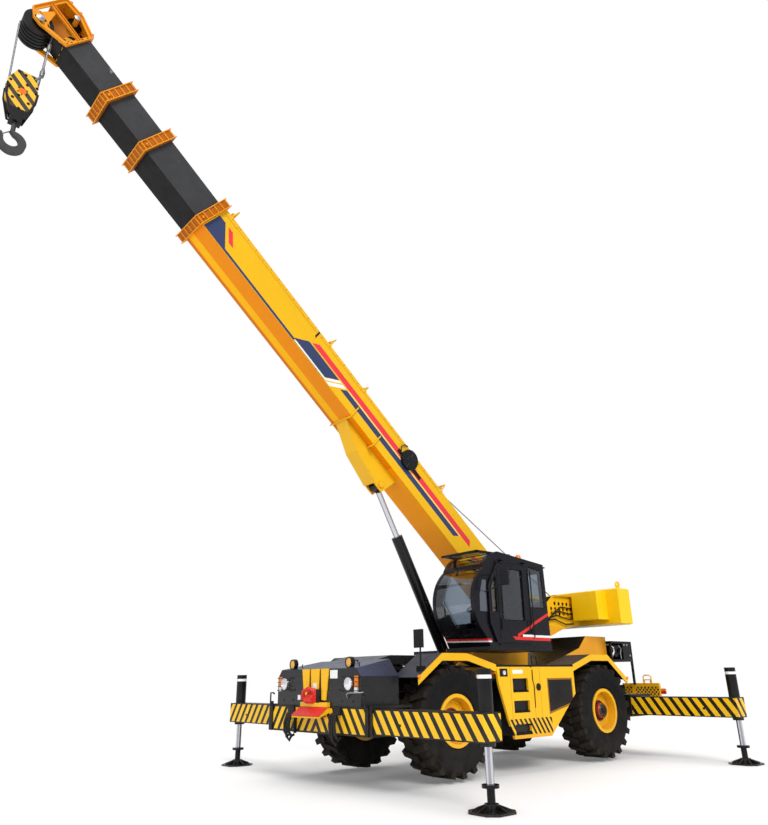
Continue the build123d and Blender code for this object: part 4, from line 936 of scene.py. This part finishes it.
# Seat with a cushion, a back and arm rests
def pad(build, low, high, crown, n=8):
    """A crowned cushion: a rounded box with a swelled top."""
    (x0, y0, z0), (x1, y1, z1) = low, high
    verts, faces = [], []
    for face in (0, 1):
        for i in range(n + 1):
            for j in range(n + 1):
                u, v = i / n * 2 - 1, j / n * 2 - 1
                swell = (1 - u ** 4) * (1 - v ** 4)
                pull = 1 - 0.06 * (1 - swell)
                x = (x0 + x1) / 2 + u * (x1 - x0) / 2 * pull
                y = (y0 + y1) / 2 + v * (y1 - y0) / 2 * pull
                z = z1 - 0.03 + (0.03 + crown) * swell ** 0.5 if face else z0 + 0.02 - 0.02 * swell
                verts.append((x, y, z))
    m = n + 1
    top = m * m
    for i in range(n):
        for j in range(n):
            a = i * m + j
            faces.append((a, a + 1, a + m + 1, a + m))
            faces.append((a + top, a + m + top, a + m + 1 + top, a + 1 + top))
    for i in range(n):
        for a, b in (((i, 0), (i + 1, 0)), ((i + 1, n), (i, n)), ((0, i + 1), (0, i)), ((n, i), (n, i + 1))):
            p, q = a[0] * m + a[1], b[0] * m + b[1]
            faces.append((p, q, q + top, p + top))
    build.add(verts, faces)


cushion, back, stand = Build(), Build(), Build()
pad(cushion, (-0.06, 0.63, 2.24), (0.42, 1.03, 2.335), 0.004)
cushion.make("seat_cushion", "upper", seat_fabric, "seat", angle=60)
pad(back, (-0.36, 0.64, 0.0), (0.36, 1.02, 0.085), 0.008)
upright = Matrix.Translation((-0.155, 0, 2.62)) @ Matrix.Rotation(math.radians(90), 4, "Y")
back.v = [tuple(upright @ Vector(p)) for p in back.v]
back.make("seat_back", "upper", seat_fabric, "seat", angle=60)
stand.box((0.08, 0.73, 1.836), (0.28, 0.93, 2.20))
stand.box((-0.04, 0.66, 2.20), (0.40, 1.0, 2.24))
for y in (0.60, 1.00):
    stand.box((-0.05, y, 2.44), (0.28, y + 0.06, 2.48))
stand.make("seat_frame", "upper", plastic, "plastic", 0.01)
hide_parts("cab_seat")

# Ropes: wound on the drums, along the boom, and the run from a drum to the boom's first guide
TURNS, STEPS, WOUND_R = 17, 24, 0.1825
for name, x in (("main", -1.90), ("auxiliary", -2.38)):
    wraps = Build()
    pts = []
    for k in range(TURNS * STEPS + 1):
        t = 2 * math.pi * k / STEPS
        pts.append((x + WOUND_R * math.cos(t), -0.215 + 0.43 * k / (TURNS * STEPS), DRUM_Z + WOUND_R * math.sin(t)))
    wraps.tube(pts, DRUM_ROPE_R, 6)
    wraps.make(name + "_winch_rope", name + "_winch", rope_steel, "rope")
line, run = Build(), Build()
line.tube([boom(2.87, 0.0, 1.0), boom(6.13, 0.0, 0.96), boom(8.86, 0.0, 0.93)], ROPE_R)
line.make("hoist_line", "boom", rope_steel, "rope")
drum_top, guide = Vector((-2.475, 0.0, 2.730)), Vector(boom(2.87, 0.0, 1.0))
run.tube([tuple(drum_top.lerp(guide, k / 48)) for k in range(49)], ROPE_R)
run = run.make("winch_line", None, rope_steel, "rope")
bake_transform(run)

# Rope guards on the boom's top edge, and the raised strip along its side with its rivets
guards, marks = Build(), Build()
for a, tall in ((2.87, 0.19), (5.15, 0.14), (6.13, 0.21), (8.70, 0.21)):
    crest, rail = TUBE_TOP + tall, TUBE_TOP + tall * 0.45
    guards.tube([boom(a, GUARD_Y, TUBE_TOP), boom(a, GUARD_Y, crest), boom(a, -GUARD_Y, crest),
                 boom(a, -GUARD_Y, TUBE_TOP)], 0.014)
    guards.tube([boom(a + 0.03, -GUARD_Y, rail), boom(a + 0.03, GUARD_Y, rail)], 0.020, 10)
    for side in SIDES:
        foot = ((-0.05, 0.0), (0.05, 0.0), (0.02, 0.05), (-0.02, 0.05))
        guards.plate([boom(a + da, side * 0.25, TUBE_TOP + do) for da, do in foot], 0.008)
for side in SIDES:
    for a0, a1, low in ((2.87, 5.22, 0.775), (5.225, 6.38, 0.768), (6.43, 8.50, 0.760), (8.505, 8.80, 0.752)):
        guards.panel([rect(a0, low, a1, 0.829)], on_boom_side, side * TUBE_Y, side * 0.277)
    mark = ((6.385, 0.66), (6.425, 0.70), (6.425, 0.825), (6.395, 0.825))
    marks.plate([boom(a, side * YOKE_Y, o) for a, o in mark], 0.004 * side)
    for k in range(30):
        marks.lathe(boom(3.0 + 0.195 * k, side * 0.277, 0.80), (0, side, 0), [(0, 0.008), (0.004, 0.006)], 8)
guards.make("rope_guards", "boom", strip_paint, "boom_yellow", 0.002)
marks.make("strip_rivets", "boom", iron, "frame_black")


def collar(name, body, end, number):
    """The two flanges of a section's end ring and the ribs between them."""
    half = TUBE_Y - SECTION_STEP * number + COLLAR
    top = TUBE_TOP - SECTION_STEP * number + COLLAR
    bottom = TUBE_BOTTOM + SECTION_STEP * number - COLLAR
    lip = 0.018
    rib0, rib1 = end - 0.138, end - 0.012
    ribs = Build()
    for a0 in (end - 0.150, end - 0.014):
        outer = rect(-half - lip, bottom - lip, half + lip, top + lip)
        hole = rect(-half + 0.004, bottom + 0.004, half - 0.004, top - 0.004)
        ribs.panel([outer, hole], across_boom, a0, a0 + 0.014)
    for k in range(6):
        y = -half + 0.03 + k * (2 * half - 0.06) / 5
        for o0, o1 in ((top - 0.002, top + lip - 0.003), (bottom - lip + 0.003, bottom + 0.002)):
            ribs.panel([rect(rib0, o0, rib1, o1)], on_boom_side, y - 0.008, y + 0.008)
        o = bottom + 0.03 + k * (top - bottom - 0.06) / 5
        for side in SIDES:
            ribs.panel([rect(rib0, o - 0.008, rib1, o + 0.008)], on_boom_side,
                       side * (half - 0.002), side * (half + lip - 0.003))
    for side in SIDES:
        ribs.tube([boom(end - 0.075, side * (half + out), bottom + 0.09) for out in (0.004, 0.030)], 0.018, 12)
    ribs.make(name, body, orange, "boom_orange", 0.002)


collar("base_collar_ribs", "boom", 8.98, 0)
collar("section_2_collar_ribs", "section_2", 10.27, 1)
collar("section_3_collar_ribs", "section_3", 11.11, 2)

# The lift bracket's closing plates, the two yokes that tie it to the tube, and the cable reel
bracket, reel = Build(), Build()
for a0, o0, a1, o1 in ((3.93, -0.127, 4.538, -0.010), (4.530, -0.012, 5.066, 0.250)):
    bracket.panel([band(a0, o0, a1, o1, -0.010)], on_boom_side, -0.150, 0.150)
right_half = [(0.270, 0.195), (0.300, 0.215), (0.300, 0.46), (YOKE_Y, 0.49), (YOKE_Y, 0.2495)]
yoke = right_half + [(-y, o) for y, o in reversed(right_half)]
for a in (4.42, 5.04):
    bracket.panel([yoke], across_boom, a, a + 0.016)
bracket.make("lift_bracket_plates", "boom", yellow, "boom_yellow", 0.003)
REEL_A, REEL_O = 3.749, 0.640
reel.lathe(boom(REEL_A, 0.272, REEL_O), (0, 1, 0),
           [(0.0, 0.06), (0.012, 0.18), (0.024, 0.18), (0.026, 0.14), (0.050, 0.14), (0.052, 0.18),
            (0.064, 0.18), (0.066, 0.06), (0.082, 0.055), (0.086, 0.02)], 40)
centre = Vector(boom(REEL_A, 0.338, REEL_O))
for a, b in circle(0, 0, 1, 6):
    reel.tube([centre + Vector((a * r, 0, b * r)) for r in (0.055, 0.17)], 0.007)
reel.panel([band(3.36, 0.56, 4.02, 0.58, 0.07)], on_boom_side, YOKE_Y, 0.280)
reel.tube([boom(3.95, 0.28, 0.62), boom(4.02, 0.30, 0.70), boom(3.99, 0.30, 0.78), boom(3.92, 0.29, 0.82)],
          0.010)
reel.make("cable_reel", "boom", black_gloss, "frame_black", 0.002)

# Boom head: open side plates with flanges, the hub's bracket, the partition and the striped plate behind
HEAD = [(11.880, 0.316), (11.880, 0.824), (12.220, 0.924), (12.530, 0.884), (12.530, 0.275), (12.390, 0.165),
        (12.270, 0.165)]
LOWER = [(11.935, 0.372), (11.935, 0.545), (12.475, 0.560), (12.475, 0.325), (12.400, 0.318), (12.330, 0.338),
         (12.262, 0.315), (12.215, 0.266)]
UPPER = [(11.935, 0.590), (11.935, 0.778), (12.222, 0.864), (12.475, 0.835), (12.475, 0.604)]
STRUT = [(12.20, 0.30), (12.33, 0.345), (12.44, 0.34), (12.40, 0.55), (12.36, 0.55), (12.27, 0.345)]
INSIDE = 0.2035


def shrunk(loop, share, a0=12.23, o0=0.54):
    """The loop drawn in towards the head's middle."""
    return [(a0 + (a - a0) * share, o0 + (o - o0) * share) for a, o in loop]


head, web, inner, hubs, red_pins, head_bolts = (Build() for _ in range(6))
for side in SIDES:
    head.panel([HEAD, LOWER, UPPER], on_boom_side, side * HEAD_IN, side * HEAD_Y)
    head.panel([HEAD, shrunk(HEAD, 0.955)], on_boom_side, side * FLANGE_IN, side * 0.252)
    for low in (0.553, 0.600):
        head.panel([band(11.90, low - 0.008, 12.50, low + 0.006, 0.012)], on_boom_side,
                   side * FLANGE_IN, side * 0.250)
    head.panel([STRUT], on_boom_side, side * 0.196, side * 0.214)
head.panel([rect(-HEAD_IN, 0.764, HEAD_IN, 0.824)], across_boom, 11.880, 11.915)
# cross bars: place, half length, radius and sides
for (a, o), reach, r, sides in ((HUB, 0.252, 0.036, 20), (UPPER_HUB, HEAD_IN, 0.036, 20),
                                ((12.50, 0.850), HEAD_IN, 0.018, 12), ((12.50, 0.33), HEAD_IN, 0.018, 12),
                                ((11.96, 0.40), HEAD_IN, 0.018, 12)):
    head.tube([boom(a, -reach, o), boom(a, reach, o)], r, sides)
for a0, o0, a1, o1 in ((11.90, 0.815, 12.22, 0.908), (12.22, 0.908, 12.52, 0.870)):
    head.panel([band(a0, o0, a1, o1, 0.010)], on_boom_side, -INSIDE, INSIDE)
head.panel([rect(12.505, 0.60, 12.515, 0.865)], on_boom_side, -INSIDE, INSIDE)
head.make("head_frame", "section_4", orange, "boom_orange", 0.003)
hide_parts("boom_head")
web.panel([shrunk(HEAD, 0.95)], on_boom_side, -0.005, 0.005)
web.panel([rect(11.95, 0.345, 12.45, 0.36)], on_boom_side, -0.203, -0.010)
web.make("head_partition", "section_4", partition_material(), "boom_orange")
inner.panel([rect(-0.203, 0.336, 0.203, 0.804)], across_boom, 11.921, 11.940)
inner.make("head_inner_plate", "section_4", head_plate_material(), "boom_orange")
for side in SIDES:
    out = (0, side, 0)
    hubs.lathe(boom(HUB[0], side * 0.250, HUB[1]), out, [(0, 0.055), (0.018, 0.055), (0.024, 0.040), (0.034, 0.020)],
               20)
    hubs.lathe(boom(UPPER_HUB[0], side * HEAD_Y, UPPER_HUB[1]), out, [(0, 0.045), (0.012, 0.045), (0.018, 0.020)], 16)
    for a, o in ((12.26, 0.935), (12.44, 0.915), (11.92, 0.855)):
        loop = ((0, -0.03), (0, 0), (0.015, 0.018), (0.035, 0), (0.035, -0.03))
        red_pins.tube([boom(a + da, side * 0.225, o + do) for da, do in loop], 0.009)
    places = ((11.905, 0.36), (11.905, 0.44), (11.905, 0.64), (11.905, 0.74), (12.30, 0.30), (12.36, 0.30),
              (12.39, 0.22), (12.27, 0.20))
    head_bolts.bolts([boom(a, side * HEAD_Y, o) for a, o in places], out)
hubs.make("head_hub_caps", "section_4", steel, "steel")
red_pins.make("head_red_loops", "section_4", red, "boom_orange")
head_bolts.make("head_bolts", "section_4", iron, "frame_black")


# Hook block: straps, bolts, the rope's socket and the hook's latch
def block(x, y, z):
    return (BLOCK_X + x, y, BLOCK_Z + z)


STRAP = ((0.178, 0.05), (0.206, 0.05), (0.196, -0.13), (0.104, -0.44), (0.070, -0.44), (0.165, -0.13))
HEADS = ((0.085, 0.295), (0.165, 0.109), (0.165, 0.0), (-0.115, 0.30), (-0.165, 0.147), (-0.165, 0.052),
         (-0.04, 0.13), (0.034, -0.09), (0.0, -0.30), (-0.10, -0.16), (0.10, -0.16), (0.0, 0.285))
CHEEK_Y = 0.0752
straps, socket, latch = Build(), Build(), Build()
for side in SIDES:
    y = side * CHEEK_Y
    for way in SIDES:
        straps.panel([[(BLOCK_X + way * x, BLOCK_Z + z) for x, z in STRAP]], on_side, y, side * 0.084)
    straps.bolts([block(x, y, z) for x, z in HEADS], (0, side, 0), 0.013, 0.012)
    for p in ring(BLOCK_X, y, BLOCK_Z, 0.062, 6, 0.5):
        straps.lathe(p, (0, side, 0), [(0, 0.010), (0.008, 0.010)], 6)
for x in (-0.11, 0.06):
    straps.box(block(x - 0.02, -0.055, 0.24), block(x + 0.03, 0.055, 0.325))
straps.make("hook_block_fittings", "hook_block", black, "frame_black", 0.002)
FALL_Y = 0.095
socket.tube([block(-0.209, FALL_Y, 1.18), block(-0.190, FALL_Y, 0.50)], ROPE_R)
socket.tube([block(-0.190, FALL_Y, 0.52), block(-0.185, FALL_Y, 0.44), block(-0.182, FALL_Y, 0.36)], 0.02, 12,
            radii=[0.014, 0.034, 0.030])
socket.tube([block(-0.182, FALL_Y, 0.37), block(-0.155, 0.092, 0.31), block(-0.125, 0.086, 0.27)], 0.018, 10)
socket.tube([block(-0.205, FALL_Y, 0.98), block(-0.202, FALL_Y, 0.90), block(-0.199, FALL_Y, 0.86)], 0.02, 12,
            radii=[0.024, 0.030, 0.016])
socket.make("rope_socket", "hook_block", rope_steel, "rope")
latch.tube([block(0.035, 0.0, -0.665), block(0.09, 0.0, -0.72), block(0.125, 0.0, -0.76)], 0.010)
latch.make("hook_latch", "hook", steel, "steel")

# Winch guards with their holes, hoses, the weight's inner blocks and its eyes
SCREEN = [(-1.62, 2.35), (-1.62, 2.62), (-1.84, 2.78), (-2.69, 2.82), (-2.69, 2.47), (-2.10, 2.40)]
HOSE = ((0.0, 0.35, 2.26, 0.02), (-0.18, 0.375, 2.34, 0.05), (-0.42, 0.37, 2.36, 0.08),
        (-0.72, 0.375, 2.28, 0.10), (-1.0, 0.36, 2.30, 0.10))
holes = [circle(-1.80 - 0.125 * k, z, 0.036, 12) for k in range(7) for z in (2.66, 2.56, 2.475) if k or z < 2.6]
screens, hoses, blocks = Build(), Build(), Build()
for side in SIDES:
    screens.panel([SCREEN] + holes, on_side, side * 0.338, side * 0.346)
    screens.box((-2.69, side * 0.338, 2.80), (-1.86, side * 0.40, 2.812))
    for k in range(4):
        x = -1.45 - 0.07 * k
        hoses.tube([(x + dx, side * y, z + rise * k) for dx, y, z, rise in HOSE], 0.012)
    blocks.box((-2.70, side * 0.42, 2.34), (-2.36, side * 1.0, 2.87))
    blocks.tube(ring(-2.97, side * 1.1, 3.005, 0.055, 16), 0.020, 10, closed=True)
screens.make("winch_screens", "upper", yellow, "body_yellow", 0.001)
hoses.make("winch_hoses", "upper", rubber, "plastic")
blocks.make("weight_inner_blocks", "upper", weight_paint, "body_yellow", 0.012)

# Rear engine room: posts, floor, roof, battery box, radiator, engine and air cleaner
ROOM0, ROOM1, ROOM_Y = -3.84, -3.10, 0.70
engine, shiny = Build(), Build()
for x in (ROOM0, -3.14):
    for side in SIDES:
        engine.box((x, side * 0.66, 1.17), (x + 0.04, side * ROOM_Y, 1.98))
for x1, y0, y1, z0, z1 in ((ROOM1, -ROOM_Y, ROOM_Y, 1.60, 1.64), (ROOM1, -ROOM_Y, ROOM_Y, 1.94, 1.98),
                           (-3.52, 0.16, ROOM_Y, 1.64, 1.95), (-3.62, -ROOM_Y, 0.10, 1.64, 1.95)):
    engine.box((ROOM0, y0, z0), (x1, y1, z1))
for k in range(22):
    z = 1.665 + 0.0125 * k
    engine.box((-3.615, -0.68, z), (-3.60, 0.10, z + 0.006))
engine.box((-3.46, -0.30, 1.64), (-3.12, 0.40, 1.80))
for k in range(4):
    engine.lathe((-3.20 - 0.08 * k, 0.30, 1.80), (0, 0, 1), [(0, 0.035), (0.05, 0.035), (0.06, 0.028), (0.09, 0.026)],
                 16)
engine.lathe((-3.34, 0.42, 1.80), (0, 1, 0),
             [(0, 0.11), (0.02, 0.125), (0.22, 0.125), (0.24, 0.115), (0.26, 0.06), (0.275, 0.05)], 28)
engine.make("engine_room", "carrier", black, "frame_black", 0.004)
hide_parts("rear_housing")
shiny.tube([(-3.16, 0.66, 1.70), (-3.22, 0.68, 1.78), (-3.24, 0.66, 1.86), (-3.20, 0.60, 1.92),
            (-3.12, 0.56, 1.93)], 0.026, 12)
shiny.tube([(-3.45, 0.68, 1.66), (-3.42, 0.69, 1.74), (-3.48, 0.68, 1.84), (-3.46, 0.64, 1.91)], 0.014, 10)
shiny.lathe((-3.34, 0.62, 1.80), (0, 1, 0), [(0.058, 0.05), (0.062, 0.052), (0.075, 0.040)])
for x, z in ((-3.60, 1.90), (-3.70, 1.90), (-3.78, 1.70)):
    shiny.box((x, 0.7005, z), (x + 0.05, 0.704, z + 0.03))
shiny.make("engine_bright_parts", "carrier", steel, "steel", 0.001)


# The floor: pale, glowing white to the camera far out, so that the object's shadow stays
def color_and_strength(node, color, strength):
    node.inputs["Color"].default_value = color
    node.inputs["Strength"].default_value = strength


def mixed(tree, fac, first, second, target):
    """Two shaders mixed into the tree's output."""
    n = tree.nodes.new("ShaderNodeMixShader")
    for i, socket in enumerate((fac, first.outputs[0], second.outputs[0])):
        tree.links.new(socket, n.inputs[i])
    tree.links.new(n.outputs[0], tree.nodes[target].inputs[0])


HALF = 90
floor_mesh = bpy.data.meshes.new("floor")
floor_mesh.from_pydata([(x, y, 0) for x, y in rect(-HALF, -HALF, HALF, HALF)], [], [(0, 1, 2, 3)])
floor = bpy.data.objects.new("floor", floor_mesh)
bpy.context.scene.collection.objects.link(floor)
floor.location.z = -0.002
pale = bpy.data.materials.new("pale_floor")
pale.use_nodes = True
tree = pale.node_tree
diffuse = tree.nodes["Principled BSDF"]
diffuse.inputs["Base Color"].default_value = (0.82, 0.82, 0.82, 1)
diffuse.inputs["Roughness"].default_value = 0.9
glow = tree.nodes.new("ShaderNodeEmission")
color_and_strength(glow, (1, 1, 1, 1), 1.0)
path = tree.nodes.new("ShaderNodeLightPath")
coord = tree.nodes.new("ShaderNodeTexCoord")
length = tree.nodes.new("ShaderNodeVectorMath")
length.operation = "LENGTH"
tree.links.new(coord.outputs["Object"], length.inputs[0])
far = tree.nodes.new("ShaderNodeMapRange")
for i, value in enumerate((4.5, 9.0, 0.12, 1.0)):
    far.inputs[i + 1].default_value = value
tree.links.new(length.outputs["Value"], far.inputs[0])
seen = tree.nodes.new("ShaderNodeMath")
seen.operation = "MULTIPLY"
tree.links.new(far.outputs[0], seen.inputs[0])
tree.links.new(path.outputs["Is Camera Ray"], seen.inputs[1])
mixed(tree, seen.outputs[0], diffuse, glow, "Material Output")
floor_mesh.materials.append(pale)

# The world, the lamps and the camera
world = bpy.data.worlds.new("studio")
bpy.context.scene.world = world
world.use_nodes = True
tree = world.node_tree
soft = tree.nodes["Background"]
color_and_strength(soft, (0.95, 0.97, 1.0, 1), 0.62)
backdrop = tree.nodes.new("ShaderNodeBackground")
color_and_strength(backdrop, (1, 1, 1, 1), 1.0)
path = tree.nodes.new("ShaderNodeLightPath")
mixed(tree, path.outputs["Is Camera Ray"], soft, backdrop, "World Output")


def sun(name, direction, strength, angle, color=(1, 1, 1)):
    data = bpy.data.lights.new(name, "SUN")
    data.energy = strength
    data.angle = math.radians(angle)
    data.color = color
    obj = bpy.data.objects.new(name, data)
    bpy.context.scene.collection.objects.link(obj)
    obj.rotation_euler = Vector(direction).to_track_quat("-Z", "Y").to_euler()


sun("key", (-0.35, -0.75, -0.62), 2.1, 25, (1.0, 0.98, 0.95))
sun("top", (0.1, 0.15, -1.0), 1.1, 50)
sun("fill", (-0.9, 0.2, -0.15), 0.5, 60, (0.9, 0.95, 1.0))

YAW, PITCH, ROLL = 4.00297, 0.367427, -0.0149025
SENSOR, PIXELS = 36.0, 825.0
FOCAL_PX, SHIFT_X_PX, SHIFT_Y_PX = 699.781, -3.078, -4.041
cam = bpy.data.cameras.new("camera")
cam_obj = bpy.data.objects.new("camera", cam)
bpy.context.scene.collection.objects.link(cam_obj)
ahead = Vector((math.cos(YAW) * math.cos(PITCH), math.sin(YAW) * math.cos(PITCH), math.sin(PITCH)))
level = Vector((math.sin(YAW), -math.cos(YAW), 0))
above = level.cross(ahead)
right = math.cos(ROLL) * level + math.sin(ROLL) * above
up = -math.sin(ROLL) * level + math.cos(ROLL) * above
turned = Matrix((right, up, -ahead)).transposed().to_4x4()
cam_obj.matrix_world = Matrix.Translation((9.57589, 8.86896, 1.36686)) @ turned
cam.sensor_fit = "VERTICAL"
cam.sensor_height = SENSOR
cam.lens = FOCAL_PX / PIXELS * SENSOR
cam.shift_x = SHIFT_X_PX / PIXELS
cam.shift_y = SHIFT_Y_PX / PIXELS
cam.clip_end = 400
bpy.context.scene.camera = cam_obj
bpy.context.scene.view_settings.view_transform = "Standard"

low, high = cad_box
